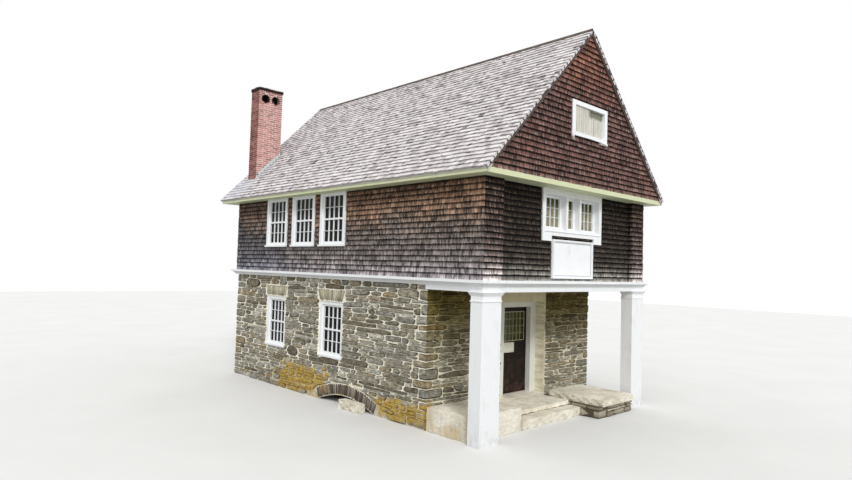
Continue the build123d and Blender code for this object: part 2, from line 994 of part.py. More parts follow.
def write_windows():
    """Windows, their glass, the attic shutters and the sign board."""
    save("sash_window_frames", *side_windows(0), *back_windows(0))
    save("window_glass", *side_windows(1), *back_windows(1), *triple_glass())
    save("triple_window_frame", triple_frame())
    front, back = both_gables([attic_frame()])
    save("attic_window_frames", front + sill_scraps(), back)
    save("attic_shutters", *both_gables(attic_shutters()))
    save("sign_board", sign_board())


def write_doorway():
    """Door frame, the door with its glass and hardware, and the hinges."""
    save("door_frame", door_frame())
    save("door_leaf", door_leaf())
    save("door_glass", door_glass())
    save("door_leaf_hinges", *leaf_hinges())
    save("door_jamb_hinges", *jamb_hinges())
    save("door_knobs", *door_knob())


def write_slabs():
    """Stone slabs at the porch and at the arch."""
    under_landing = ground_floor_top - slab_thickness
    save("landing_slab", block(
        landing_left, landing_right, front_y + landing_front, stone_front,
        under_landing, ground_floor_top,
    ))
    threshold = block(
        doorway_left, doorway_right, stone_front, stone_room_front, 0, ground_floor_top
    )
    threshold += block(
        doorway_left - doorway_shoulder, doorway_left, stone_front, front_y + door_frame_front,
        0, ground_floor_top,
    )
    save("threshold_slab", threshold)
    save("left_slab", block(
        -stone_x, left_slab_right, front_y + left_slab_front, stone_front, 0, left_slab_top
    ))
    save("front_step", block(
        left_slab_right, landing_right, front_y + front_step_front, front_y + landing_front,
        0, front_step_top,
    ))
    save("side_slab", block(
        side_slab_left, side_slab_right, front_y + side_slab_front, front_y + side_slab_back,
        side_slab_top - side_slab_thickness, side_slab_top,
    ))
    save("slab_bed", slab_bed())
    y0 = front_y + race_stone_distance
    save("race_stone", block(
        -stone_x - race_stone_width, -stone_x, y0, y0 + race_stone_length, 0, race_stone_height
    ))


os.makedirs("parts", exist_ok=True)
write_stonework()
write_upper_storey()
write_roof()
write_windows()
write_doorway()
write_slabs()
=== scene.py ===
"""Looks of a mill house: a rubble stone ground storey, a shingled upper storey over a porch, and
a shingled roof with a brick chimney.

Lengths are in metres. +X is to the right of someone who faces the porch, +Y is back along the
house and +Z is up. The shapes are worked out as whole arrays: a covering is a set of closed
blocks laid in courses on a face, and a rubble stone is a pillow on a grid of two parameters.
"""

import math

import bpy
import numpy as np
from mathutils import Matrix, Vector


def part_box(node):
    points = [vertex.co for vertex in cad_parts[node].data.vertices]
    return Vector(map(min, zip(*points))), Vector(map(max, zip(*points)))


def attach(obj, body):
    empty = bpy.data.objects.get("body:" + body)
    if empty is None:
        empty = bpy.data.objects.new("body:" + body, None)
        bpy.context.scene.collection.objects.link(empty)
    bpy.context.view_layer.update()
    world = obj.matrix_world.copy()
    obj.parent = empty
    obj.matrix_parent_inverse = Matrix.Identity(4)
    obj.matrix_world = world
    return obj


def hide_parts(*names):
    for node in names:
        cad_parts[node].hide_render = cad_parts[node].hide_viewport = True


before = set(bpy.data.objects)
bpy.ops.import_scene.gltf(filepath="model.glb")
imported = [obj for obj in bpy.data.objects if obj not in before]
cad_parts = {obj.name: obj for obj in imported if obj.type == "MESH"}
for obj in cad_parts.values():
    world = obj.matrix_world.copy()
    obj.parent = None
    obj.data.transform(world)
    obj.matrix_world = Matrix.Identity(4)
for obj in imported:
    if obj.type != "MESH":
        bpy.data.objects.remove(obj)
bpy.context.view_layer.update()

# Places read from the frame
STONE_X, STONE_BACK, STONE_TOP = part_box("stone_wall_back")[1]
STONE_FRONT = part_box("stone_front_walls")[0].y
DOORWAY_LEFT, DOORWAY_RIGHT = [corner.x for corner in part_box("threshold_slab")]
BOARD_X, BOARD_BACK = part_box("upper_wall_back")[1].xy
BOARD_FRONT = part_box("front_corner_piers")[0].y
RECESS_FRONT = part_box("upper_wall_front")[0].y
RECESS_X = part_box("upper_wall_front")[1].x
LEDGE_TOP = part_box("upper_wall_back")[0].z
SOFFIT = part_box("end_cornices")[0].z
GABLE_FRONT, CORNICE_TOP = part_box("gable_front")[0].yz
GABLE_HALF, GABLE_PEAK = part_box("gable_front")[1].xz
GABLE_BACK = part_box("gable_back")[1].y
EAVE_X, ROOF_BACK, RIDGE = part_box("roof_right")[1]
STACK_LOW, STACK_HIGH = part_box("chimney_stack")
ATTIC_LOW, ATTIC_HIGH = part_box("attic_window_frames")
SHUTTER_LOW, SHUTTER_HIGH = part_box("attic_shutters")
WIDE_LOW, WIDE_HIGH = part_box("triple_window_frame")
SIGN_LOW, SIGN_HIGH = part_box("sign_board")

# Roof: height of the deck over the soffit at the eave, its slope, the width of the boards on the
# ridge and of the sheets by the stack, how far the shingles hang over the deck at the eave and at
# the gables, and how proud a sheet's foot is, how far it leans back and how thick it is
EAVE_RISE = 0.131
EAVE_TOP = SOFFIT + EAVE_RISE
PITCH = math.atan2(RIDGE - EAVE_TOP, EAVE_X)
SLOPE_LENGTH = EAVE_X / math.cos(PITCH)
RIDGE_BOARD = 0.15
FLASHING = 0.17
EAVE_OVERHANG, RAKE_OVERHANG = 0.035, 0.03
SHEET_PROUD, SHEET_LEAN, SHEET = 0.034, 0.018, 0.003

# Double-hung windows: middles, sizes of their casings, and the parts of casing and sash
UPPER_WINDOWS = (-0.105, 1.318, 2.741)
LOWER_WINDOWS = (-0.025, 2.785)
BACK_WINDOWS = (-1.4, 1.4)
UPPER_WIDTH, UPPER_HEIGHT = 1.146, 1.416
LOWER_WIDTH, LOWER_HEIGHT = 1.080, 1.470
UPPER_BOTTOM, LOWER_BOTTOM = SOFFIT - UPPER_HEIGHT, 1.135
UPPER_CASING_HEAD, LOWER_CASING_HEAD = 0.030, 0.090
UPPER_SASH_FRONT, LOWER_SASH_FRONT = 0.007, -0.060
CASING, CASING_FOOT = 0.105, 0.070
STILE, RAIL, MEETING_RAIL = 0.048, 0.060, 0.046
SASH_DEPTH = 0.045
BAR = 0.020

# Wide window: its lights, the posts between them and the casing that reaches down beside it
WIDE_MIDDLE = 0.055
MIDDLE_LIGHT, SIDE_LIGHT, POST = 0.482, 0.815, 0.084
WIDE_SASH, WIDE_BAR = 0.058, 0.017
LIGHT_BOTTOM, LIGHT_TOP = 4.560, 5.350
WIDE_GLASS = 0.285
EAR, APRON_FOOT = 0.36, 4.397
SILL_LOW, SILL_HIGH, SILL_INSET = 4.485, 4.510, 0.07

# Attic window: the foot of its frame over the broken sill, and where painted shadow from the window
# head starts on a shutter
ATTIC_BOTTOM = CORNICE_TOP + 1.125
HEAD_SHADOW_LOW = 7.15

# Shingles: height of a course, widths, thickness at butt and tip, lap under the next course,
# unevenness of the butts and least height of the last course; then half a butt, the open joint
# between two shingles, and the least width and height of one that is kept
WALL = {
    "course": 0.125, "widths": (0.075, 0.17), "butt": 0.020, "tip": 0.007, "lap": 0.012,
    "wander": 0.0035, "least": 0.02,
}
ROOF = {
    "course": 0.146, "widths": (0.09, 0.19), "butt": 0.024, "tip": 0.009, "lap": 0.016,
    "wander": 0.006, "least": 0.03,
}
HALF_BUTT = WALL["butt"] / 2
SHINGLE_JOINT = (0.002, 0.010)
LEAST_SHINGLE, LEAST_STRIP = 0.008, 0.012

# Shingle ends at a rake: top, depth, front, share of a course, and strength of their tones; layers of
# nought strength are dark, a painted shadow behind and below the pale ends
RAKE_LAYERS = (
    (-0.001, 0.050, 0.012, 0.80, 0.9), (0.004, 0.056, 0.007, 1.0, 0.0),
    (-0.052, 0.020, 0.005, 1.0, 0.0),
)

# Arch over the tail race
ARCH_Y = -0.773
ARCH_HALF, ARCH_RISE, ARCH_RING = 1.170, 0.250, 0.310
ARCH_RADIUS = (ARCH_HALF**2 + ARCH_RISE**2) / (2 * ARCH_RISE)

# Rubble: middle length, spread and limits of the stones, the share and the lengths of those two
# rows high, the length from which one may be split, and how far they are drawn out
STONE_LENGTH, STONE_SPREAD = 0.54, 0.42
SHORTEST, LONGEST, LAST_STONE = 0.22, 1.40, 0.16
TALL_SHARE, TALL_FROM, TALL_TO, SPLIT_FROM = 0.07, 0.60, 1.2, 0.30
LEAST_ROW = 0.045
STRIP_STEP = 0.02
DRAWN_OUT = 2.0
ROUGHNESS = 0.0028
LINTEL_HEIGHT, LINTEL_FOOT, LINTEL_WIDE = 0.34, 1.00, 1.26

# Growth of a stone: neighbours looked at, farthest reach, halvings, and the least mean reach of
# one that is kept. Depth of its rim and of its back, out from the wall
NEIGHBOURS, FARTHEST, HALVINGS, LEAST_GROWTH = 16, 0.40, 12, 0.009
RIM_DEPTH, BACK_DEPTH = -0.003, -0.02

# Slabs: the steps round one, how square its corners are, and how rough each one's sides are
SLAB_STEP, SLAB_POWER = 0.045, 40
SLABS = (
    ("landing_slab", 0.007), ("threshold_slab", 0.004), ("left_slab", 0.010),
    ("front_step", 0.012), ("side_slab", 0.012), ("race_stone", 0.016),
)

# Chimney bricks, the run that takes only two of them and the share of the first, and the flues'
# mouths
BRICK_COURSE, BRICK_JOINT, BRICK_LENGTH, BRICK_WIDTH = 0.0677, 0.015, 0.21, 0.080
BRICK_PROUD, LEAST_BRICK = 0.004, 0.012
SHORT_RUN, FIRST_SHARE = 0.4, 0.66
MOUTH_RADIUS, MOUTH_INSET = 0.1525, 0.084
MOUTH_LOW = STACK_HIGH.z - 0.357
MOUTH_SPRING = MOUTH_LOW + 0.240 - MOUTH_RADIUS

# Door: what its frame covers of the glass, the widths of its bars, stiles and rails, how far under
# the glass the panels end and the band over them starts and ends, the rim round a panel, and the
# notice's left, right, foot and head
GLASS_REBATE, DOOR_BAR = 0.010, 0.012
DOOR_STILE, DOOR_RAIL, DOOR_POST = 0.117, 0.20, 0.10
PANEL_DROP, BAND_FOOT, BAND_HEAD, PANEL_RIM = 0.42, 0.36, 0.03, 0.06
NOTICE = (0.010, 0.440, 1.400, 1.667)

# Photograph's view and the light
CAMERA_PLACE = (-12.6936, -13.536, 3.5502)
CAMERA_YAW, CAMERA_PITCH, CAMERA_ROLL = [math.radians(turn) for turn in (43.55, 2.66, 1.68)]
LENS = 25.94
FLOOR_REACH = 60.0
SKY_LEVEL = 0.92
SUN_LEVEL = 1.5
SUN_FROM = (-0.45, -0.80, 0.60)


# Mesh making

BLOCK_FACES = np.array(
    [(4, 5, 7, 6), (0, 2, 3, 1), (0, 1, 5, 4), (2, 6, 7, 3), (0, 4, 6, 2), (1, 3, 7, 5)]
)
ALONG = {"front": (1, 0, 0), "right": (0, 1, 0), "back": (-1, 0, 0), "left": (0, -1, 0)}


def put(name, data):
    """A new object in the scene."""
    piece = bpy.data.objects.new(name, data)
    bpy.context.scene.collection.objects.link(piece)
    return piece


def mesh_piece(name, points, loops, sizes, material, slot, body="root", smooth=False, **marks):
    """A piece from the corners of every face in turn and the number of corners of each.

    marks are values per point or per face that the material reads.
    """
    mesh = bpy.data.meshes.new(name)
    mesh.vertices.add(len(points))
    mesh.vertices.foreach_set("co", np.asarray(points, np.float32).ravel())
    mesh.loops.add(len(loops))
    mesh.loops.foreach_set("vertex_index", np.asarray(loops, np.int32))
    mesh.polygons.add(len(sizes))
    starts = np.concatenate(([0], np.cumsum(sizes)[:-1]))
    mesh.polygons.foreach_set("loop_start", starts.astype(np.int32))
    mesh.update(calc_edges=True)
    if smooth:
        mesh.shade_smooth()
    else:
        mesh.shade_flat()
    for mark, values in marks.items():
        values = np.asarray(values, np.float32)
        kind, field = ("FLOAT", "value") if values.ndim == 1 else ("FLOAT_VECTOR", "vector")
        domain = "FACE" if len(values) == len(sizes) else "POINT"
        mesh.attributes.new(mark, kind, domain).data.foreach_set(field, values.ravel())
    mesh.materials.append(material)
    piece = put(name, mesh)
    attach(piece, body)
    return piece


def quads_of(grid):
    """The faces of a grid of point numbers."""
    corners = [grid[:-1, :-1], grid[:-1, 1:], grid[1:, 1:], grid[1:, :-1]]
    return np.stack(corners, axis=-1).reshape(-1, 4)


def rim_of(grid):
    """The point numbers round the edge of a grid."""
    return np.concatenate([grid[0], grid[1:, -1], grid[-1, -2::-1], grid[-2:0:-1, 0]])


def skirt_of(rim, behind):
    """The faces from a rim to the one behind it."""
    return np.stack([rim, behind, np.roll(behind, -1), np.roll(rim, -1)], axis=-1)


def plane(origin, along, up):
    """A flat face: its origin and its along, up and outward directions."""
    along, up = np.array(along, float), np.array(up, float)
    return np.array(origin, float), along, up, np.cross(along, up)


def facing(side, offset):
    """An upright face that looks to one side, at an offset on the axis that it looks along."""
    x, y, _ = ALONG[side]
    return plane((offset * abs(y), offset * abs(x), 0), ALONG[side], (0, 0, 1))


def place(face, u, v, d):
    """Points u along, v up and d out from a face's origin."""
    origin, along, up, out = face
    return origin + u[..., None] * along + v[..., None] * up + d[..., None] * out


def blocks_at(face, u, v, d):
    """The corners of blocks on a face, eight by eight."""
    return place(face, u, v, d).reshape(-1, 8, 3)


def block_grid(u0, u1, v0, v1, d0, d1):
    """Tables of how far along, up and out the corners of blocks are.

    In each, the last axis runs along, the one before it up and the one before that out.
    """
    ends = np.stack(np.broadcast_arrays(*np.atleast_1d(u0, u1, v0, v1, d0, d1))).astype(float)
    grid = np.empty((3, ends.shape[1], 2, 2, 2))
    grid[0] = ends[:2].T[:, None, None, :]
    grid[1] = ends[2:4].T[:, None, :, None]
    grid[2] = ends[4:].T[:, :, None, None]
    return grid


def box_block(face, u0, u1, v0, v1, d0, d1, narrow=0.0, low=0.0):
    """Straight blocks on a face, from d0 to d1 out of it.

    The front of each is drawn in by narrow at both sides and by low at its top and foot.
    """
    u, v, d = block_grid(u0, u1, v0, v1, d0, d1)
    u[:, 1] += narrow * np.array([1, -1])
    v[:, 1] += low * np.array([[1], [-1]])
    return blocks_at(face, u, v, d)


def block_piece(name, blocks, material, slot, body="root", **marks):
    """One piece of many closed six-sided blocks."""
    corners = np.concatenate(blocks) if isinstance(blocks, list) else blocks
    faces = BLOCK_FACES[None] + 8 * np.arange(len(corners))[:, None, None]
    sizes = np.full(6 * len(corners), 4)
    points = corners.reshape(-1, 3)
    return mesh_piece(name, points, faces.ravel(), sizes, material, slot, body, **marks)


def mitred_frame(face, u0, u1, v0, v1, width, back, front, bevel):
    """Four bars round a rectangle that meet in mitres.

    Each bar runs from one outer corner to the next, its inner edge is set in by width, and its
    front is drawn in by bevel from both edges.
    """
    corners = np.empty((4, 2, 2, 2, 3))
    for k, (depth, insets) in enumerate(((back, (0, width)), (front, (bevel, width - bevel)))):
        for j, inset in enumerate(insets):
            u = np.array([u0 + inset, u1 - inset, u1 - inset, u0 + inset])
            v = np.array([v0 + inset, v0 + inset, v1 - inset, v1 - inset])
            for i in (0, 1):
                d = np.full(4, depth)
                corners[:, k, j, i] = place(face, np.roll(u, -i), np.roll(v, -i), d)
    return corners.reshape(-1, 8, 3)


def ripple(a, b, phase):
    """A slow wave over two parameters: three sines that cross at different slants."""
    return (
        0.5 * np.sin(1.9 * a + 2.3 * b + phase)
        + 0.3 * np.sin(4.1 * a - 3.7 * b + 2.1 * phase)
        + 0.2 * np.sin(9.7 * a + 5.3 * b + 3.7 * phase)
    )


def hole_at(middle, width, low, high):
    """An opening as left, right, foot and head."""
    return (middle - width / 2, middle + width / 2, low, high)


# Shingles

def cut_run(rng, start, end, narrow, wide):
    """Edges of pieces of random width that fill a run from start to end."""
    widths = rng.uniform(narrow, wide, int((end - start) / narrow) + 2)
    edges = start + np.concatenate(([0.0], np.cumsum(widths)))
    return np.append(edges[edges < end - 0.6 * narrow], end)


def lay_courses(rng, levels, start, end, openings, widths):
    """Cells of a coursed covering, as rows of left, right, foot, head and the course's level.

    Each course runs from one level to the next. It is cut at the sides of the openings that it
    meets, and what lies inside an opening is left out.
    """
    cells = []
    for level, head in zip(levels[:-1], levels[1:]):
        met = [o for o in openings if o[2] < head and o[3] > level]
        stops = sorted({start, end, *[x for o in met for x in o[:2] if start < x < end]})
        for left, right in zip(stops[:-1], stops[1:]):
            inside = [o for o in met if o[0] < (left + right) / 2 < o[1]]
            strips = [(level, inside[0][2]), (inside[0][3], head)] if inside else [(level, head)]
            edges = cut_run(rng, left, right, *widths)
            for foot, top in strips:
                if top - foot > LEAST_STRIP:
                    run = np.empty((len(edges) - 1, 5))
                    run[:, 0], run[:, 1] = edges[:-1], edges[1:]
                    run[:, 2:] = foot, top, level
                    cells.append(run)
    return np.concatenate(cells)


def shingle_blocks(rng, face, cells, laps, limit, course, butt, tip, wander):
    """Closed wedges, one for each cell, with the marks that their finish reads.

    A shingle's front leans straight back from butt thick at its course's level to tip thick
    one course higher, and it reaches up under the next course by its lap. limit gives half the
    width that the face has at a height. The marks are the place on the face, the share of the
    course's height that a point has risen, and a random tone.
    """
    left, right, foot, head, level = cells.T
    count = len(cells)
    gap = rng.uniform(*SHINGLE_JOINT, count) / 2
    slip = np.where(foot > level, 0.0, rng.normal(0, wander, count))
    thick = butt + rng.normal(0, 0.14 * butt, count)
    skew = rng.normal(0, 0.0015, (2, count))
    u, v, d = block_grid(left + gap, right - gap, foot + slip, head + laps, 0.0, 0.0)
    u[:, :, 1] += skew.T[:, None]
    v[:, :, 0, 1] += rng.normal(0, 0.25 * wander, count)[:, None]
    rise = (v - level[:, None, None, None]) / course
    d[:, 1] = np.maximum(thick[:, None, None] + (tip - butt) * rise[:, 1], 0.3 * tip)
    tone = rng.uniform(0, 1, count)
    if limit is not None:
        reach = np.maximum(limit(v), 0.0)
        u = np.clip(u, -reach, reach)
        kept = (u[:, 0, :, 1] - u[:, 0, :, 0]).max(1) > LEAST_SHINGLE
        u, v, d, rise, tone = u[kept], v[kept], d[kept], rise[kept], tone[kept]
    lie = np.stack([u, v, d], axis=-1).reshape(-1, 3)
    return blocks_at(face, u, v, d), lie, rise.ravel(), np.repeat(tone, 8)


def cover(
    rng, face, low, high, start, end, openings=(), limit=None, *, course, widths, least, lap, **shape
):
    """Shingles on a face between two heights. The last course is cut short at the top."""
    levels = np.append(np.arange(low, high - least, course), high)
    cells = lay_courses(rng, levels, start, end, openings, widths)
    laps = np.where(np.isin(cells[:, 3], levels[:-1]), lap, 0.0)
    return shingle_blocks(rng, face, cells, laps, limit, course, **shape)


def shingle_piece(name, coverings, material, slot="wall_shingles"):
    """One piece of the shingles of several faces, whose butt ends are marked."""
    corners, lies, rises, tones = zip(*coverings)
    block_piece(
        name, list(corners), material, slot, lie=np.concatenate(lies), rise=np.concatenate(rises),
        tone=np.concatenate(tones), butt=np.tile([0, 0, 1, 0, 0, 0], sum(len(c) for c in corners)),
    )


def gable_half(z):
    """Half the width of a gable at height z, along the underside of the roof."""
    return GABLE_HALF * (GABLE_PEAK - z) / (GABLE_PEAK - CORNICE_TOP)


def wall_shingles():
    """Shingles of the upper storey and of both gables, wall by wall."""
    edge, front, back = BOARD_X + HALF_BUTT, BOARD_FRONT - HALF_BUTT, BOARD_BACK + HALF_BUTT
    for seed, side, offset, start, end, middles, material in (
        (11, "left", -BOARD_X, -back, -front, [-y for y in UPPER_WINDOWS], long_wall_shingle),
        (12, "right", BOARD_X, front, back, UPPER_WINDOWS, long_wall_shingle),
        (13, "back", BOARD_BACK, -edge, edge, [-x for x in BACK_WINDOWS], front_wall_shingle),
    ):
        rng = np.random.default_rng(seed)
        holes = [hole_at(middle, UPPER_WIDTH, UPPER_BOTTOM, SOFFIT) for middle in middles]
        covering = cover(rng, facing(side, offset), LEDGE_TOP, SOFFIT, start, end, holes, **WALL)
        shingle_piece(f"{side}_wall_shingles", [covering], material)
    shingle_piece("front_wall_shingles", front_coverings(), front_wall_shingle)
    hole = hole_at(0, ATTIC_HIGH.x - ATTIC_LOW.x, ATTIC_BOTTOM, ATTIC_HIGH.z)
    for seed, side, y in ((17, "front", GABLE_FRONT), (18, "back", GABLE_BACK)):
        rng = np.random.default_rng(seed)
        covering = cover(
            rng, facing(side, y), CORNICE_TOP, GABLE_PEAK, -GABLE_HALF, GABLE_HALF, [hole],
            gable_half, **WALL,
        )
        shingle_piece(f"{side}_gable_shingles", [covering], gable_shingle)


def front_coverings():
    """Shingles of the corner piers, of their returns and of the recessed front wall."""
    rng = np.random.default_rng(19)
    outer, inner = BOARD_X + HALF_BUTT, RECESS_X
    front, back = BOARD_FRONT - WALL["butt"], RECESS_FRONT
    pier = facing("front", BOARD_FRONT)
    holes = [
        (WIDE_LOW.x, WIDE_LOW.x + EAR, WIDE_LOW.z, SOFFIT),
        (WIDE_HIGH.x - EAR, WIDE_HIGH.x, WIDE_LOW.z, SOFFIT),
        (WIDE_LOW.x + EAR, WIDE_HIGH.x - EAR, APRON_FOOT, SOFFIT),
        (SIGN_LOW.x, SIGN_HIGH.x, SIGN_LOW.z, SIGN_HIGH.z),
    ]
    return [
        cover(rng, face, LEDGE_TOP, SOFFIT, start, end, openings, **WALL)
        for face, start, end, openings in (
            (pier, -outer, -inner, ()), (pier, inner, outer, ()),
            (facing("right", -inner), front, back, ()), (facing("left", inner), -back, -front, ()),
            (facing("front", RECESS_FRONT), -inner, inner, holes),
        )
    ]


def roof_shingles():
    """Shingles of both roof slopes, from the eave up to the boards on the ridge.

    A slope's own height runs up along the roof from the eave.
    """
    flat, steep = math.cos(PITCH), math.sin(PITCH)
    end = ROOF_BACK + RAKE_OVERHANG
    top = SLOPE_LENGTH - RIDGE_BOARD + 0.02
    stack = (
        -STACK_HIGH.y, -STACK_LOW.y, (EAVE_X + STACK_LOW.x) / flat, (EAVE_X + STACK_HIGH.x) / flat,
    )
    for seed, side, sign, holes in ((23, "left", 1, [stack]), (24, "right", -1, [])):
        rng = np.random.default_rng(seed)
        face = plane((-sign * EAVE_X, 0, EAVE_TOP), (0, -sign, 0), (sign * flat, 0, steep))
        covering = cover(rng, face, -EAVE_OVERHANG, top, -end, end, holes, **ROOF)
        coverings = [covering, starter_course(rng, face, -end, end)]
        shingle_piece(f"{side}_roof_shingles", coverings, roof_shingle, "roof_shingles")
        ends = []
        for y, way in ((-ROOF_BACK, sign), (ROOF_BACK, -sign)):
            along = (way * sign * flat, 0, way * steep)
            face = plane((-sign * EAVE_X, y, EAVE_TOP), along, (-sign * steep, 0, flat))
            ends += rake_ends(rng, face, way, -0.03, SLOPE_LENGTH)
        shingle_piece(f"{side}_rake_shingles", ends, roof_shingle, "roof_shingles")


def starter_course(rng, face, start, end):
    """A second layer of shingles under the first course, which shows at the eave."""
    edges = cut_run(rng, start, end, *ROOF["widths"])
    count = len(edges) - 1
    foot = -0.028 + rng.normal(0, 0.003, count)
    gap = rng.uniform(0.001, 0.003, count)
    left, right = edges[:-1] + gap, edges[1:] - gap
    lie = np.zeros((8 * count, 3))
    lie[:, 0] = np.repeat(left, 8)
    tone = np.repeat(rng.uniform(0, 0.5, count), 8)
    return box_block(face, left, right, foot, 0.0, -0.012, 0.0), lie, np.full(8 * count, 0.3), tone


def rake_ends(rng, face, way, start, end):
    """Shingle ends along one gable edge of a slope: pale ends, with painted shadow behind and below
    them.
    """
    step = ROOF["course"]
    coverings = []
    for top, deep, proud, share, shade in RAKE_LAYERS:
        low = np.arange(start, end - step, step)
        low = low + rng.normal(0, 0.008, len(low))
        worn = rng.uniform(0.85, 1.0, len(low)) if shade else 1.0
        ends = np.sort(np.stack([low, low + step * share * worn]) * way, axis=0)
        front = proud + rng.normal(0, 0.003, len(low))
        u, v, d = block_grid(*ends, top - deep, top, 0.0, front)
        rise = np.clip((way * u - low[:, None, None, None]) / step, 0, 1)
        v[:, :, 0] += 0.010 * rise[:, :, 0] * (shade > 0)
        lie = np.stack([v, way * u, d], axis=-1).reshape(-1, 3)
        # a strength of nought gives the darkest tone: painted shadow
        tone = np.repeat(shade * rng.uniform(0.1, 1.0, len(low)), 8)
        coverings.append((blocks_at(face, u, v, d), lie, np.zeros(8 * len(low)), tone))
    return coverings


def step_flashing():
    """Sheets up both sides of the stack, a flat one on the roof and one up the bricks a course.

    A flat sheet leans as the shingles do, from its foot proud of the course below.
    """
    flat, steep, course = math.cos(PITCH), math.sin(PITCH), ROOF["course"]
    low, high = (EAVE_X + STACK_LOW.x) / flat, (EAVE_X + STACK_HIGH.x) / flat
    foot = np.arange(low - 0.05, high + 0.02, course)
    head = foot + course
    made = []
    for side, y, way in (("front", STACK_LOW.y, -1), ("back", STACK_HIGH.y, 1)):
        slope = plane((-EAVE_X, y, EAVE_TOP), (0, -1, 0), (flat, 0, steep))
        reach = sorted((0, -way * FLASHING))
        u, v, d = block_grid(*reach, foot, head + 0.03, 0, 1)
        lean = SHEET_PROUD - SHEET_LEAN * (v - foot[:, None, None, None]) / course
        made.append(blocks_at(slope, u, v, lean - SHEET * (1 - d)))
        x0 = np.clip(-EAVE_X + foot * flat, STACK_LOW.x, STACK_HIGH.x)
        x1 = np.clip(-EAVE_X + head * flat + 0.02, STACK_LOW.x, STACK_HIGH.x)
        kept = x1 - x0 > 0.03
        ends = np.sort(np.stack([-way * x0, -way * x1]), axis=0)[:, kept]
        z0 = EAVE_TOP + foot[kept] * steep - 0.02
        z1 = EAVE_TOP + head[kept] * steep + 0.07
        made.append(box_block(facing(side, y), *ends, z0, z1, 0.0, 0.008, narrow=0.001))
    block_piece("step_flashing", made, lead, "lead_sheet")


# Rubble stones

STONE_COLUMNS = np.array([-1, -0.86, -0.46, 0, 0.46, 0.86, 1])
STONE_ROWS = np.array([[-1], [-0.60], [0.60], [1]])
GRID = np.arange(28).reshape(4, 7)
RIM = rim_of(GRID)
BACK_RIM = 28 + np.arange(len(RIM))
STONE_QUADS = np.concatenate([quads_of(GRID), skirt_of(RIM, BACK_RIM)])

# Slants, from level, in which the grid's rim points grow: upright along the core, then a fan
GROWTH_SLANTS = np.radians([[end, 62, 90, 90, 90, 62, end] for end in (32, 10, 10, 32)])
GROWTH = np.stack([
    np.cos(GROWTH_SLANTS) * np.sign(STONE_COLUMNS), np.sin(GROWTH_SLANTS) * np.sign(STONE_ROWS),
], axis=-1)


def strip_of(corners):
    """A run of walls unrolled: its corner points, the distance to each, and its directions.

    The walls are on the left of someone who walks along it, so that outward is on the right.
    """
    corners = np.array(corners, float)
    steps = np.diff(corners, axis=0)
    lengths = np.linalg.norm(steps, axis=1)
    along = steps / lengths[:, None]
    out = np.stack([along[:, 1], -along[:, 0]], axis=1)
    return corners, np.concatenate(([0.0], np.cumsum(lengths))), along, out


def fold(strip, s, z, d):
    """Points s along an unrolled strip, at height z and d out from the walls.

    A point right on a fold moves out along both walls' directions.
    """
    corners, starts, along, out = strip
    run = np.clip(np.searchsorted(starts, s, side="right") - 1, 0, len(along) - 1)
    flat = corners[run] + (s - starts[run])[..., None] * along[run] + d[..., None] * out[run]
    folded = (np.abs(s - starts[run]) < 1e-7) & (run > 0)
    flat += np.where(folded, d, 0.0)[..., None] * out[np.maximum(run - 1, 0)]
    return np.concatenate([flat, z[..., None]], axis=-1)


def row_levels(rng, length, count, top, wave):
    """Joints between rows of rubble: a table of heights by row and by distance.

    The rows differ in height, and each joint wanders by a slow random wave of its own, so that
    a stone between two joints tapers.
    """
    s = np.arange(0.0, length + 2 * STRIP_STEP, STRIP_STEP)
    knots = np.arange(0.0, length + 1.6, 0.5)
    bell = np.hanning(15)
    bell /= bell.sum()
    levels = np.concatenate(([0.0], np.cumsum(rng.uniform(0.6, 1.4, count))))
    joints = np.zeros((count + 1, len(s)))
    for k in range(1, count):
        drift = np.interp(s, knots - rng.uniform(0, 0.5), rng.normal(0, wave, len(knots)))
        drift = np.convolve(np.pad(drift, 7, mode="edge"), bell, mode="valid")
        joints[k] = np.maximum(top * levels[k] / levels[-1] + drift, joints[k - 1] + LEAST_ROW)
    joints[-1] = top
    return np.minimum(joints, top - LEAST_ROW * np.arange(count, -1, -1)[:, None])


def level_at(levels, row, s):
    """Height of the joint under each row, at distance s. A row may be a whole number and a half."""
    spot = np.clip(s / STRIP_STEP, 0, levels.shape[1] - 1.001)
    low = spot.astype(int)
    share = spot - low
    whole = np.floor(row).astype(int)
    under, over = [
        levels[k, low] * (1 - share) + levels[k, low + 1] * share
        for k in (whole, np.minimum(whole + 1, len(levels) - 1))
    ]
    return under * (1 - (row - whole)) + over * (row - whole)


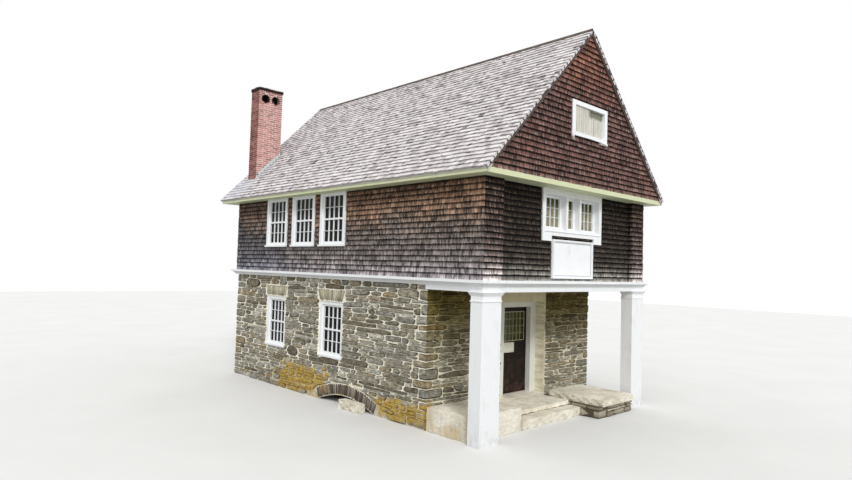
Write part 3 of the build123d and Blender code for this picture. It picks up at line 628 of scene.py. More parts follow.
def lay_rubble(rng, strip, levels, holes, quoin, split):
    """Corner stones and the stones of every row, as start, end, lower and upper joint.

    At a corner, stones one or two rows high turn a long and a short leg by turns; they carry
    the share of their length that lies before the fold as well. Each row is then cut between
    corners and holes into stones of random length. Some of them take the row above as well,
    and others are split along the middle of their row. split gives the share of split stones
    at a distance.
    """
    starts = strip[1]
    count = len(levels) - 1
    taken = [[(starts[0], starts[0]), (starts[-1], starts[-1])] for _ in range(count)]
    for k, spans in enumerate(taken):
        for hole in holes:
            middle = (hole[0] + hole[1]) / 2
            if hole[2] < (level_at(levels, k, middle) + level_at(levels, k + 1, middle)) / 2 < hole[3]:
                spans.append(hole[:2])
    corners, stones = [], []
    for number, at in enumerate(starts[1:-1]):
        k, turn = 0, number
        while k < count:
            long, short = quoin[0] * rng.uniform(0.7, 1.3), quoin[1] * rng.uniform(0.8, 1.3)
            before, after = (long, short) if turn % 2 else (short, long)
            last = min(k + rng.choice([1, 2, 2]), count)
            corners.append((at - before, at + after, k, last, before / (before + after)))
            for spans in taken[k:last]:
                spans.append((at - before, at + after))
            k, turn = last, turn + 1
    for k, spans in enumerate(taken):
        spans.sort()
        for (_, s0), (s1, _) in zip(spans[:-1], spans[1:]):
            if s1 - s0 < 0.03:
                continue
            widths = rng.lognormal(math.log(STONE_LENGTH), STONE_SPREAD, 200)
            widths = np.clip(widths, SHORTEST, LONGEST)
            edges = s0 + np.concatenate(([0.0], np.cumsum(widths)))
            edges = np.append(edges[edges < s1 - LAST_STONE], s1)
            for a, b in zip(edges[:-1], edges[1:]):
                above = taken[k + 1] if k + 1 < count else [(a, b)]
                free = all(b <= t0 or a >= t1 for t0, t1 in above)
                chance = rng.random()
                if free and TALL_FROM < b - a < TALL_TO and chance < TALL_SHARE:
                    above.append((a, b))
                    stones.append((a, b, k, k + 2))
                elif b - a > SPLIT_FROM and chance > 1 - split(a):
                    stones += [(a, b, k, k + 0.5), (a, b, k + 0.5, k + 1)]
                else:
                    stones.append((a, b, k, k + 1))
    return np.array(corners), np.array(stones)


def stone_cores(rng, stones, levels, taper):
    """The line inside each stone from which it grows, and the stone's half thickness.

    A line stops short of the stone's ends by a random part of its height, between the bounds
    that taper gives for each stone, so that its ends draw to a point. It leans a little.
    """
    s0, s1, low, high = stones.T
    ends = np.stack([s0, s1])
    foot, head = [np.stack([level_at(levels, row, s) for s in ends]) for row in (low, high)]
    tall = (head - foot).mean(axis=0)
    short = np.minimum(rng.uniform(*taper, ends.shape) * tall, 0.42 * (s1 - s0))
    s = ends + short * np.array([[1], [-1]])
    z = (foot + head) / 2 + rng.normal(0, 0.09, ends.shape) * tall
    return np.stack([s, z], axis=-1).swapaxes(0, 1), 0.5 * tall * rng.uniform(0.8, 1.2, len(s0))


def core_distance(points, cores, radius):
    """Distance from points to the nearest place on each core line, less the core's radius."""
    start, run = cores[..., 0, :], cores[..., 1, :] - cores[..., 0, :]
    length = np.maximum((run**2).sum(-1), 1e-9)
    share = np.clip(((points - start) * run).sum(-1) / length, 0, 1)
    return np.linalg.norm(points - start - share[..., None] * run, axis=-1) - radius


def grow_stones(rng, cores, radius, blocks, ring, ends, joint, proud):
    """Grids of stones that grow outward from their core lines until they meet.

    A grid point moves from its core line in a set direction, found by halving, up to where the
    next stone is nearer, or to a block (a window or a corner stone), to the ring of the arch,
    or to an end of the walls. The inner rows stop part of the way. Distances along the wall
    count for less by DRAWN_OUT, which makes the stones long and flat.
    """
    squeeze = np.array([1 / DRAWN_OUT, 1])
    cores = cores * squeeze
    count = len(cores)
    middle, half = cores.mean(axis=1), np.abs(cores[:, 1, 0] - cores[:, 0, 0]) / 2
    apart = np.abs(middle[:, None] - middle[None])
    apart = np.maximum(apart[..., 0] - half[:, None] - half[None], 0) + apart[..., 1]
    np.fill_diagonal(apart, 1e9)
    near = np.argpartition(apart, NEIGHBOURS, axis=1)[:, :NEIGHBOURS]
    share = (np.clip(STONE_COLUMNS / STONE_COLUMNS[-2], -1, 1) + 1) / 2
    base = cores[:, None, 0] + share[None, :, None] * (cores[:, 1] - cores[:, 0])[:, None]
    base = np.broadcast_to(base[:, None], (count, 4, 7, 2))
    gap = rng.uniform(*joint, count)[:, None, None]
    low, high = np.array(blocks).reshape(-1, 2, 2).transpose(2, 0, 1)
    block_middle, block_half = (low + high) / 2, (high - low) / 2
    inner, outer = np.zeros((count, 4, 7)), np.full((count, 4, 7), FARTHEST)
    for _ in range(HALVINGS):
        reach = (inner + outer) / 2
        points = base + reach[..., None] * GROWTH
        own = core_distance(points, cores[:, None, None], radius[:, None, None])
        others = core_distance(
            points[..., None, :], cores[near][:, None, None], radius[near][:, None, None]
        ).min(axis=-1)
        past = own - others + gap > 0
        points = points / squeeze
        beside = np.abs(points[..., None, :] - block_middle) - block_half
        past |= (beside.max(axis=-1) < gap[..., None] / 2).any(axis=-1)
        past |= np.hypot(points[..., 0] - ring[0], points[..., 1] - ring[1]) < ring[2]
        past |= (points[..., 0] < ends[0]) | (points[..., 0] > ends[1])
        past |= (points[..., 1] < 0) | (points[..., 1] > ends[2])
        inner, outer = np.where(past, inner, reach), np.where(past, reach, outer)
    grown = inner.mean(axis=(1, 2)) > LEAST_GROWTH
    inner[:, 1:3, 1:6] *= rng.uniform(0.60, 0.85, (count, 2, 5))
    points = (base + inner[..., None] * GROWTH) / squeeze
    points = points + rng.normal(0, ROUGHNESS, base.shape) * np.array([1.5, 1])
    s, z = np.moveaxis(points[grown], -1, 0)
    return grown, (s, np.maximum(z, 0.0), relief_of(rng, s.shape, proud))


def pillow(rng, width, height, joint, roundness):
    """Two parameters from -1 to 1 over each stone, drawn in so that its corners round off.

    A point moves towards the middle along a superellipse of random power, and the whole stone
    shrinks by the joint on every side.
    """
    a, b = STONE_COLUMNS, STONE_ROWS
    power = rng.uniform(*roundness, len(width))[:, None, None]
    total = np.abs(a) ** power + np.abs(b) ** power
    rounding = np.maximum(np.abs(a), np.abs(b)) / total ** (1 / power)
    gap = joint * rng.uniform(0.6, 1.5, (2, len(width)))
    shrink = np.clip(1 - 2 * gap / np.stack([width, height]), 0.4, 1)[..., None, None]
    return a * rounding * shrink[0], b * rounding * shrink[1]


def relief_of(rng, shape, proud):
    """Depth of each grid point: the rim just under the mortar and the face proud and tilted."""
    stand = rng.uniform(*proud, shape[0])[:, None, None]
    tilt = rng.normal(0, 0.0035, (2, shape[0]))[..., None, None]
    depth = stand + tilt[0] * STONE_COLUMNS + tilt[1] * STONE_ROWS
    depth = np.maximum(depth + rng.normal(0, ROUGHNESS, shape), 0.003)
    depth[:, (0, -1)] = RIM_DEPTH
    depth[:, :, (0, -1)] = RIM_DEPTH
    return depth


def corner_stones(rng, stones, levels, joint, proud):
    """Grids of squared corner stones: distance, height and depth of 28 points each.

    The first parameter runs from the stone's start to its end, with nought on its fold, and the
    second from its lower to its upper joint.
    """
    s0, s1, low, high, bend = stones.T[..., None, None]
    middle = s0 + bend * (s1 - s0)
    tall = level_at(levels, high, middle) - level_at(levels, low, middle)
    a, b = pillow(rng, (s1 - s0).ravel(), tall.ravel(), joint, (7.0, 12.0))
    s = middle + a * np.where(a < 0, middle - s0, s1 - middle)
    s = s + rng.normal(0, 0.004, s.shape) * (a != 0)
    share = (b + 1) / 2
    z = level_at(levels, low, s) * (1 - share) + level_at(levels, high, s) * share
    z = z + rng.normal(0, 0.003, z.shape)
    return s, np.clip(z, 0.0, levels[-1, 0]), relief_of(rng, s.shape, proud)


def wedge_stones(rng, quads, joint, proud):
    """Grids of cut stones: the blend of each quad's four corners by the two parameters."""
    low_left, low_right, high_right, high_left = [quads[:, None, None, k] for k in range(4)]
    width, height = [np.linalg.norm(quads[:, k] - quads[:, 0], axis=1) for k in (1, 3)]
    a, b = [(part[..., None] + 1) / 2 for part in pillow(rng, width, height, joint, (6.0, 12.0))]
    points = (1 - b) * ((1 - a) * low_left + a * low_right)
    points = points + b * ((1 - a) * high_left + a * high_right)
    points = points + rng.normal(0, 0.002, points.shape)
    return points[..., 0], np.maximum(points[..., 1], 0.0), relief_of(rng, a.shape[:3], proud)


def stone_piece(name, strip, grid, tone, material):
    """Closed stones: the front grid, a skirt into the wall and one flat back each.

    Their rim is marked, most of all on the under side, for painted shade along their edges.
    """
    s, z, depth = [part.reshape(-1, 28) for part in grid]
    back = fold(strip, s[:, RIM], z[:, RIM], np.full((len(s), len(RIM)), BACK_DEPTH))
    points = np.concatenate([fold(strip, s, z, depth), back], axis=1)
    per_stone = points.shape[1]
    loops = np.concatenate([STONE_QUADS.ravel(), BACK_RIM[::-1]])
    loops = loops[None] + per_stone * np.arange(len(s))[:, None]
    sizes = np.append(np.full(len(STONE_QUADS), 4), len(BACK_RIM))
    rim = np.zeros(per_stone)
    rim[RIM], rim[BACK_RIM] = 1.0, 1.0
    rim[GRID[1]] = 0.30
    mesh_piece(
        name, points.reshape(-1, 3), loops.ravel(), np.tile(sizes, len(s)), material,
        "rubble_stone", tone=np.repeat(tone, per_stone), rim=np.tile(rim, len(s)),
    )


def outside_ring(stones, levels, ring):
    """The stones whose middle is outside the ring of the arch."""
    middle = (stones[:, 0] + stones[:, 1]) / 2
    height = (level_at(levels, stones[:, 2], middle) + level_at(levels, stones[:, 3], middle)) / 2
    return stones[np.hypot(middle - ring[0], height - ring[1]) >= ring[2]]


def keep_clear(cores, holes, ring):
    """Moves core ends out of windows, lintels and the arch ring by the shortest way."""
    s, z = cores[..., 0], cores[..., 1]
    margin = 0.028
    for s0, s1, z0, z1 in holes:
        ways = np.stack([s - s0, s1 - s, z - z0, z1 - z]) + margin
        inside, nearest = (ways > 0).all(axis=0), ways.argmin(axis=0)
        s = np.where(inside & (nearest < 2), np.where(nearest == 0, s0 - margin, s1 + margin), s)
        z = np.where(inside & (nearest > 1), np.where(nearest == 2, z0 - margin, z1 + margin), z)
    reach = np.hypot(s - ring[0], z - ring[1])
    push = np.maximum((ring[2] + margin) / reach, 1.0)
    s, z = ring[0] + (s - ring[0]) * push, ring[1] + (z - ring[1]) * push
    return np.stack([s, np.maximum(z, margin)], axis=-1)


def stone_walls():
    """Rubble on every outer stone wall, the flat arches over its windows and the race arch.

    The walls are unrolled from the doorway's right side, round the house, to its left.
    """
    strip = strip_of([
        (DOORWAY_RIGHT, STONE_FRONT), (STONE_X, STONE_FRONT), (STONE_X, STONE_BACK),
        (-STONE_X, STONE_BACK), (-STONE_X, STONE_FRONT), (DOORWAY_LEFT, STONE_FRONT),
    ])
    starts = strip[1]
    middles = [starts[1] + y - STONE_FRONT for y in LOWER_WINDOWS]
    middles += [starts[3] + STONE_BACK - y for y in LOWER_WINDOWS]
    head = LOWER_BOTTOM + LOWER_HEIGHT
    holes = [hole_at(s, LOWER_WIDTH, LOWER_BOTTOM, head) for s in middles]
    holes += [hole_at(s, LINTEL_WIDE, head, head + LINTEL_HEIGHT) for s in middles]
    ring = (starts[3] + STONE_BACK - ARCH_Y, ARCH_RISE - ARCH_RADIUS, ARCH_RADIUS + ARCH_RING)
    rng = np.random.default_rng(31)
    levels = row_levels(rng, starts[-1], 31, STONE_TOP, 0.013)

    def on_front(s):
        return (s < starts[1]) | (s > starts[-2])

    corners, stones = lay_rubble(
        rng, strip, levels, holes, (0.50, 0.24), lambda s: 0.0 if on_front(s) else 0.16
    )
    corners, stones = outside_ring(corners, levels, ring), outside_ring(stones, levels, ring)
    squared = on_front(stones[:, 0])
    taper = (np.where(squared, 0.25, 0.4), np.where(squared, 0.60, 1.7))
    cores, radius = stone_cores(rng, stones, levels, taper)
    cores = keep_clear(cores, holes, ring)
    middle = corners[:, 0] + corners[:, 4] * (corners[:, 1] - corners[:, 0])
    feet, heads = [level_at(levels, corners[:, k], middle) for k in (2, 3)]
    blocks = holes + list(zip(corners[:, 0], corners[:, 1], feet, heads))
    ends = (starts[0] + 0.004, starts[-1] - 0.004, STONE_TOP - 0.002)
    grown, grid = grow_stones(
        rng, cores, radius, blocks, ring, ends, (0.006, 0.016), (0.006, 0.032)
    )
    corner_grid = corner_stones(rng, corners, levels, 0.0065, (0.006, 0.018))
    tone = rng.uniform(0, 1, len(grid[0]))
    corner_tone = rng.uniform(0.25, 0.9, len(corners))
    run_of = np.searchsorted(starts, cores[grown, :, 0].mean(axis=1), side="right") - 1
    corner_run = np.searchsorted(starts, middle + 1e-6, side="right") - 1
    for run, side in enumerate(("front_right", "right", "back", "left", "front_left")):
        mine, turned = run_of == run, corner_run == run
        both = [np.concatenate([g[mine], c[turned]]) for g, c in zip(grid, corner_grid)]
        tones = np.concatenate([tone[mine], corner_tone[turned]])
        stone_piece(f"{side}_stones", strip, both, tones, rubble)
    flat_arches(strip, middles, head)
    race_arch(strip, *ring[:2])


def flat_arches(strip, middles, low):
    """Splayed upright stones over each lower window, wider at the top than at the foot."""
    rng = np.random.default_rng(37)
    count = 12
    quads = []
    for s in middles:
        cuts = np.cumsum(rng.uniform(0.75, 1.25, count))
        share = np.concatenate(([0.0], cuts / cuts[-1])) - 0.5
        foot, head = s + LINTEL_FOOT * share, s + LINTEL_WIDE * share
        for k in range(count):
            top = low + LINTEL_HEIGHT - abs(rng.normal(0, 0.008))
            quads.append([(foot[k], low), (foot[k + 1], low), (head[k + 1], top), (head[k], top)])
    grid = wedge_stones(rng, np.array(quads), 0.008, (0.006, 0.020))
    stone_piece("window_lintel_stones", strip, grid, rng.uniform(0, 1, len(quads)), lintel_stone)


def race_arch(strip, middle, centre_z):
    """Thin stones set on edge round the race arch, each between two of its radii."""
    rng = np.random.default_rng(41)
    count = 30
    cuts = np.cumsum(rng.uniform(0.7, 1.3, count))
    angles = math.asin(ARCH_HALF / ARCH_RADIUS) * (2 * np.append(0.0, cuts / cuts[-1]) - 1)
    outer = ARCH_RADIUS + ARCH_RING - np.abs(rng.normal(0, 0.012, count))
    a, b = angles[:-1], angles[1:]
    quads = np.stack([
        np.stack([middle + radius * np.sin(angle), centre_z + radius * np.cos(angle)], -1)
        for angle, radius in ((a, ARCH_RADIUS), (b, ARCH_RADIUS), (b, outer), (a, outer))
    ], 1)
    grid = wedge_stones(rng, quads, 0.006, (0.006, 0.028))
    stone_piece("race_arch_stones", strip, grid, rng.uniform(0, 1, count), arch_stone)


def bed_stones():
    """Flat dry stones under the side slab."""
    low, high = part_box("slab_bed")
    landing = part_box("landing_slab")[1].x
    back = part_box("side_slab")[1].y - 0.07
    strip = strip_of([(landing, back), (landing, low.y), (high.x, low.y), (high.x, back)])
    length = strip[1][-1]
    rng = np.random.default_rng(43)
    levels = row_levels(rng, length, 3, high.z, 0.010)
    corners, stones = lay_rubble(rng, strip, levels, [], (0.34, 0.18), lambda s: 0.0)
    cores, radius = stone_cores(rng, stones, levels, (0.3, 1.0))
    blocks = [(c[0], c[1], 0.0, high.z) for c in corners]
    nowhere, ends = (0.0, -9.0, 1.0), (0.0, length, high.z)
    _, grid = grow_stones(
        rng, cores, radius, blocks, nowhere, ends, (0.004, 0.014), (0.006, 0.045)
    )
    corner_grid = corner_stones(rng, corners, levels, 0.006, (0.006, 0.035))
    both = [np.concatenate([g, c]) for g, c in zip(grid, corner_grid)]
    stone_piece("slab_bed_stones", strip, both, rng.uniform(0.45, 1.0, len(both[0])), bed_stone)


# Slabs

def rough_slab(node, material, slot, seed, rough, edge=0.009):
    """A closed slab of split stone in place of a node.

    Rings follow a rectangle with rounded corners. They run from the middle of the underside out
    to the edge, up the side, over the arris and in to the middle of the top. Each point then
    moves by slow and fast waves, the sides most of all, and never leaves its box by more than
    a few millimetres.
    """
    rng = np.random.default_rng(seed)
    low, high = [np.array(corner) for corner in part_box(node)]
    size, middle = high - low, (low + high) / 2
    steps = np.maximum((size[:2] / SLAB_STEP).astype(int), 4)
    ramps = [np.linspace(-1, 1, n, endpoint=False) for n in steps]
    edges = [np.stack([ramps[0], -np.ones(steps[0])], 1), np.stack([np.ones(steps[1]), ramps[1]], 1)]
    outline = np.concatenate([*edges, -edges[0], -edges[1]])
    total = (np.abs(outline) ** SLAB_POWER).sum(axis=1, keepdims=True)
    outline = outline / total ** (1 / SLAB_POWER)
    arris = edge / size[2]
    rings = [
        (0.3, 0, 0), (0.75, 0, 0), (1, -0.6, 0), (1, 0, arris), (1, 0.15, 0.32), (1, 0.1, 0.62),
        (1, 0, 1 - arris), (1, -0.35, 1 - 0.3 * arris), (1, -1, 1), (0.86, 0, 1), (0.62, 0, 1),
        (0.36, 0, 1), (0.14, 0, 1),
    ]
    half = size[:2] / 2
    outward = np.sign(outline) * (np.abs(outline) > 0.97)
    points = np.empty((len(rings), len(outline), 3))
    for layer, (reach, out, height) in zip(points, rings):
        layer[:, :2] = outline * half * reach + outward * edge * out
        layer[:, 2] = (height - 0.5) * size[2]
    side = np.array([ring[0] == 1 for ring in rings], float)[:, None]
    phase = rng.uniform(0, 6, 3)
    x, y, z = np.moveaxis(points, -1, 0)
    push = ripple(5 * (x + y), 9 * z, phase[0]) + 0.7 * ripple(11 * (x - y), 17 * z, phase[1])
    push = push + rng.normal(0, 0.35, push.shape)
    inward = -np.sign(points[..., :2]) * (np.abs(points[..., :2]) > half - 2 * edge)
    points[..., :2] += inward * (side * rough * (0.9 + push))[..., None]
    top = (z > 0.2 * size[2]).astype(float)
    points[..., 2] += top * rough * 0.35 * (ripple(2.2 * x, 2.6 * y, phase[2]) - 1.0)
    poles = np.array([[0, 0, -size[2] / 2], [0, 0, size[2] / 2 - 0.35 * rough]])
    points = np.concatenate([points.reshape(-1, 3), poles]) + middle
    around, last = len(outline), len(points)
    grid = np.arange(last - 2).reshape(-1, around)
    grid = np.column_stack([grid, grid[:, 0]])
    quads = quads_of(grid)
    under = np.stack([grid[0, 1:], grid[0, :-1], np.full(around, last - 2)], -1)
    over = np.stack([grid[-1, :-1], grid[-1, 1:], np.full(around, last - 1)], -1)
    loops = np.concatenate([quads.ravel(), under.ravel(), over.ravel()])
    sizes = np.append(np.full(len(quads), 4), np.full(2 * around, 3))
    piece = mesh_piece("rough_" + node, points, loops, sizes, material, slot)
    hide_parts(node)


def slabs():
    """Every slab at the porch and at the arch, and the chimney's cap."""
    for seed, (node, rough) in enumerate(SLABS):
        rough_slab(node, slab_stone, "slab_stone", 51 + seed, rough)
    rough_slab("chimney_cap", cap_stone, "cap_stone", 61, 0.014, 0.02)


# Chimney bricks

def mouth_half(z):
    """Half the width of a flue mouth at height z: straight sides under a round head."""
    head = np.sqrt(np.maximum(MOUTH_RADIUS**2 - (z - MOUTH_SPRING) ** 2, 0.0))
    half = np.where(z < MOUTH_SPRING, MOUTH_RADIUS, head)
    return np.where(z < MOUTH_LOW, 0.0, half)


def brick_face(rng, face, start, end, levels, first, mouths):
    """Bricks on one side of the stack, as blocks and tones.

    Every second course runs to both corners, and the others stop short of them by a brick's
    width. At a flue mouth the bricks are cut along its curve.
    """
    blocks, tones = [], []
    for course, low in enumerate(levels):
        full = (course + first) % 2 == 0
        a, b = (start, end) if full else (start + BRICK_WIDTH, end - BRICK_WIDTH)
        if not full and b - a < SHORT_RUN:
            edges = np.array([a, a + (b - a) * FIRST_SHARE, b])
        else:
            edges = np.linspace(a, b, round((b - a) / BRICK_LENGTH) + 1)
        high = low + BRICK_COURSE - BRICK_JOINT
        met = [m for m in mouths if low < MOUTH_SPRING + MOUTH_RADIUS and high > MOUTH_LOW]
        edges = np.unique(np.concatenate([edges, met]))
        left, right = edges[:-1].copy(), edges[1:].copy()
        left[edges[:-1] > a + 0.001] += BRICK_JOINT / 2
        right[edges[1:] < b - 0.001] -= BRICK_JOINT / 2
        if full:
            left[0] -= BRICK_PROUD
            right[-1] += BRICK_PROUD
        u, z, d = block_grid(left, right, low, high, -BRICK_WIDTH, 0.0)
        half = mouth_half(z) - 0.002
        for m in met:
            middle = u.mean(axis=(1, 2, 3), keepdims=True)
            near = np.abs(middle - m) < BRICK_LENGTH
            u = np.where(near & (middle < m), np.minimum(u, m - half), u)
            u = np.where(near & (middle > m), np.maximum(u, m + half), u)
        kept = (u[:, 0, :, 1] - u[:, 0, :, 0]).max(1) > LEAST_BRICK
        u, z, d = u[kept], z[kept], d[kept]
        d[:, 1] = BRICK_PROUD + rng.normal(0, 0.0008, len(u))[:, None, None]
        blocks.append(blocks_at(face, u, z + rng.normal(0, 0.0006, z.shape), d))
        tones.append(rng.beta(2.0, 2.0, len(u)))
    return np.concatenate(blocks), np.concatenate(tones)


def chimney_bricks():
    """Running bond on the four sides of the stack."""
    rng = np.random.default_rng(71)
    low, high = STACK_LOW, STACK_HIGH
    levels = np.arange(high.z - BRICK_COURSE + BRICK_JOINT / 2, low.z, -BRICK_COURSE)
    mouths = [low.x + MOUTH_INSET + MOUTH_RADIUS, high.x - MOUTH_INSET - MOUTH_RADIUS]
    blocks, tones = zip(*[
        brick_face(rng, facing(side, offset), start, end, levels, first, holes)
        for side, offset, start, end, first, holes in (
            ("front", low.y, low.x, high.x, 0, mouths),
            ("back", high.y, -high.x, -low.x, 0, [-m for m in mouths]),
            ("left", low.x, -high.y, -low.y, 1, []), ("right", high.x, low.y, high.y, 1, []),
        )
    ])
    tone = np.repeat(np.concatenate(tones), 8)
    block_piece("chimney_bricks", list(blocks), brick, "brick", tone=tone)


# Windows, door, sign and shutters

def lattice(face, u0, u1, v0, v1, columns, rows, width, back, front, draw=0.25):
    """Upright and level bars that part a light into columns and rows of panes.

    draw is the share of a bar's width by which its front is narrower at each side.
    """
    u = np.linspace(u0, u1, columns + 1)[1:-1]
    v = np.linspace(v0, v1, rows + 1)[1:-1]
    half, in_by = width / 2, draw * width
    return [
        box_block(face, u - half, u + half, v0, v1, back, front, narrow=in_by),
        box_block(face, u0, u1, v - half, v + half, back, front - 0.002, low=in_by),
    ]


def sash_bars(face, middle, bottom, width, height, head, front):
    """Glazing bars of a double sash: in each half three upright bars and a level one."""
    half = width / 2 - CASING - STILE
    low, high = bottom + CASING_FOOT, bottom + height - head
    centre = (low + high) / 2
    panes = ((low + RAIL, centre - MEETING_RAIL / 2), (centre + MEETING_RAIL / 2, high - STILE))
    back = front - SASH_DEPTH + 0.001
    made = []
    for z0, z1 in panes:
        made += lattice(
            face, middle - half, middle + half, z0, z1, 4, 2, BAR, back, front - 0.008, draw=0.3
        )
    return made


def window_bars():
    """Bars of every double-hung window, in one piece."""
    made = []
    upper = (UPPER_BOTTOM, UPPER_WIDTH, UPPER_HEIGHT, UPPER_CASING_HEAD, UPPER_SASH_FRONT)
    lower = (LOWER_BOTTOM, LOWER_WIDTH, LOWER_HEIGHT, LOWER_CASING_HEAD, LOWER_SASH_FRONT)
    for side, sign in (("left", -1), ("right", 1)):
        for y in UPPER_WINDOWS:
            made += sash_bars(facing(side, sign * BOARD_X), sign * y, *upper)
        for y in LOWER_WINDOWS:
            made += sash_bars(facing(side, sign * STONE_X), sign * y, *lower)
    for x in BACK_WINDOWS:
        made += sash_bars(facing("back", BOARD_BACK), -x, *upper)
    block_piece("window_bars", made, white_paint, "white_paint")


def triple_window_bars():
    """Bars of the wide window's three lights, three panes high, and the thin sill under them."""
    face = facing("front", BOARD_FRONT + WIDE_GLASS)
    half = MIDDLE_LIGHT / 2
    made = []
    for start, width, columns in (
        (-half - POST - SIDE_LIGHT, SIDE_LIGHT, 4), (-half, MIDDLE_LIGHT, 2),
        (half + POST, SIDE_LIGHT, 4),
    ):
        left = WIDE_MIDDLE + start + WIDE_SASH
        right = WIDE_MIDDLE + start + width - WIDE_SASH
        low, high = LIGHT_BOTTOM + WIDE_SASH, LIGHT_TOP - WIDE_SASH
        made += lattice(face, left, right, low, high, columns, 3, WIDE_BAR, 0.001, 0.030)
    left, right = WIDE_LOW.x + SILL_INSET, WIDE_HIGH.x - SILL_INSET
    apron = facing("front", WIDE_LOW.y)
    made.append(box_block(apron, left, right, SILL_LOW, SILL_HIGH, -0.002, 0.022, 0.004, 0.004))
    block_piece("triple_window_bars", made, white_paint, "white_paint")


def sign_border():
    """Raised moulding and a fine inner bead round the bare sign board; the bead's grey is painted
    shade.
    """
    low, high = SIGN_LOW, SIGN_HIGH
    for name, inset, section, material in (
        ("sign_border", 0.0, (0.050, -0.002, 0.030, 0.010), white_paint),
        ("sign_bead", 0.062, (0.018, -0.001, 0.008, 0.004), bead_paint_with_painted_shade),
    ):
        bars = mitred_frame(
            facing("front", low.y), low.x + inset, high.x - inset, low.z + inset, high.z - inset,
            *section,
        )
        block_piece(name, bars, material, "white_paint")


def shutter_boards():
    """Upright boards with open joints in place of the plain attic shutters."""
    low, high = SHUTTER_LOW, SHUTTER_HIGH
    overlap, thick, behind, gap = 0.048, 0.028, 0.034, 0.0025
    rng = np.random.default_rng(83)
    made = []
    for face in (facing("front", low.y), facing("back", high.y)):
        for start, end, set_back in ((low.x, overlap, 0.0), (-overlap, high.x, behind)):
            edges = np.linspace(start, end, 8)
            back = -set_back - thick
            made.append(box_block(
                face, edges[:-1] + gap, edges[1:] - gap, low.z, high.z, back + 0.003,
                -set_back - rng.uniform(0, 0.0015, 7), narrow=0.0035,
            ))
            made.append(box_block(face, start, end, low.z, high.z, back, back + 0.006))
    piece = block_piece("shutter_boards", made, cream_paint, "cream_shutter_paint")
    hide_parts("attic_shutters")


def door_dressing():
    """Bars and bead of the door's glass, its raised panels and a bare paper notice."""
    low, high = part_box("door_leaf")
    glass_low, glass_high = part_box("door_glass")
    face = facing("front", low.y)
    u0, u1 = glass_low.x + GLASS_REBATE, glass_high.x - GLASS_REBATE
    v0, v1 = glass_low.z + GLASS_REBATE, glass_high.z - GLASS_REBATE
    bar = DOOR_BAR
    made = lattice(face, u0, u1, v0, v1, 6, 4, bar, low.y - glass_low.y + 0.0005, -0.002)
    made.append(mitred_frame(
        face, u0 - bar, u1 + bar, v0 - bar, v1 + bar, 0.022, 0, 0.006, 0.003
    ))
    block_piece("door_glass_bars", made, door_bar_paint, "white_paint", body="door")
    left, middle, right = low.x + DOOR_STILE, (low.x + high.x) / 2, high.x - DOOR_STILE
    foot, head, rim = low.z + DOOR_RAIL, v0 - PANEL_DROP, PANEL_RIM
    halves = ((left, middle - DOOR_POST / 2), (middle + DOOR_POST / 2, right))
    panels = [mitred_frame(face, a, b, foot, head, 0.030, 0.0, 0.007, 0.010) for a, b in halves]
    panels += [
        box_block(face, a + rim, b - rim, foot + rim, head - rim, 0.0, 0.006, 0.02, 0.02)
        for a, b in halves
    ]
    band = (v0 - BAND_FOOT, v0 - BAND_HEAD)
    panels.append(mitred_frame(face, left, right, *band, 0.026, 0.0, 0.006, 0.008))
    block_piece("door_panels", panels, door_paint, "dark_door_paint", body="door")
    door_notice(face)


def door_notice(face):
    """A bare sheet of paper on the door: a grid of points that bows out between its corners."""
    u0, u1, v0, v1 = NOTICE
    a, b = np.meshgrid(np.linspace(0, 1, 13), np.linspace(0, 1, 9))
    bow = 0.008 + 0.004 * np.sin(math.pi * a) * (1 - b) + 0.0015 * np.sin(5 * a + 3 * b)
    u, v = u0 + (u1 - u0) * a, v0 + (v1 - v0) * b - 0.006 * a
    points = np.concatenate([place(face, u, v, d).reshape(-1, 3) for d in (bow, bow - 0.0012)])
    grid = np.arange(a.size).reshape(a.shape)
    quads, rim = quads_of(grid), rim_of(grid)
    faces = np.concatenate([quads, quads[:, ::-1] + a.size, skirt_of(rim, rim + a.size)])
    mesh_piece(
        "door_notice", points, faces.ravel(), np.full(len(faces), 4), notice_paper,
        "white_paint", body="door", smooth=True,
    )


# Finishes

def rgb(red, green, blue):
    """A colour as the eye sees it, from 0 to 255, as the linear colour that a shader takes."""
    parts = [c / 255 for c in (red, green, blue)]
    return tuple(c / 12.92 if c < 0.04045 else ((c + 0.055) / 1.055) ** 2.4 for c in parts) + (1.0,)


class Value:
    """What a node gives out, and the sums that can be done on it."""

    def __init__(self, nodes, socket):
        self.nodes, self.socket = nodes, socket

    def __add__(self, other):
        return self.nodes.number("ADD", self, other)

    def __sub__(self, other):
        return self.nodes.number("SUBTRACT", self, other)

    def __mul__(self, other):
        return self.nodes.number("MULTIPLY", self, other)

    def span(self, low, high, start=0.0, end=1.0):
        """Low to high brought smoothly to start to end, and held beyond them."""
        return self.nodes.node("MapRange", "Result", {
            "Value": self, "From Min": low, "From Max": high, "To Min": start, "To Max": end,
        }, interpolation_type="SMOOTHSTEP")


class Nodes:
    """A tree of shader nodes being made."""

    def __init__(self, tree):
        self.tree = tree

    def feed(self, socket, value):
        """Links a value to a socket, or sets a plain one on it."""
        if isinstance(value, Value):
            self.tree.links.new(value.socket, socket)
        else:
            socket.default_value = value

    def node(self, kind, output, inputs=None, **settings):
        """Adds a node, feeds its inputs and returns one of its outputs."""
        node = self.tree.nodes.new("ShaderNode" + kind)
        for key, value in settings.items():
            setattr(node, key, value)
        for key, value in (inputs or {}).items():
            self.feed(node.inputs[key], value)
        return Value(self, node.outputs[output])

    def number(self, kind, a, b=0.0):
        """Arithmetic on two numbers."""
        return self.node("Math", 0, {0: a, 1: b}, operation=kind)

    def highest(self, first, *others):
        """The greatest of several numbers."""
        for other in others:
            first = self.number("MAXIMUM", first, other)
        return first

    def seen_by(self, *kinds):
        """One for rays of the kinds that are named, and nought for the others."""
        return self.highest(*[self.node("LightPath", f"Is {kind} Ray") for kind in kinds])


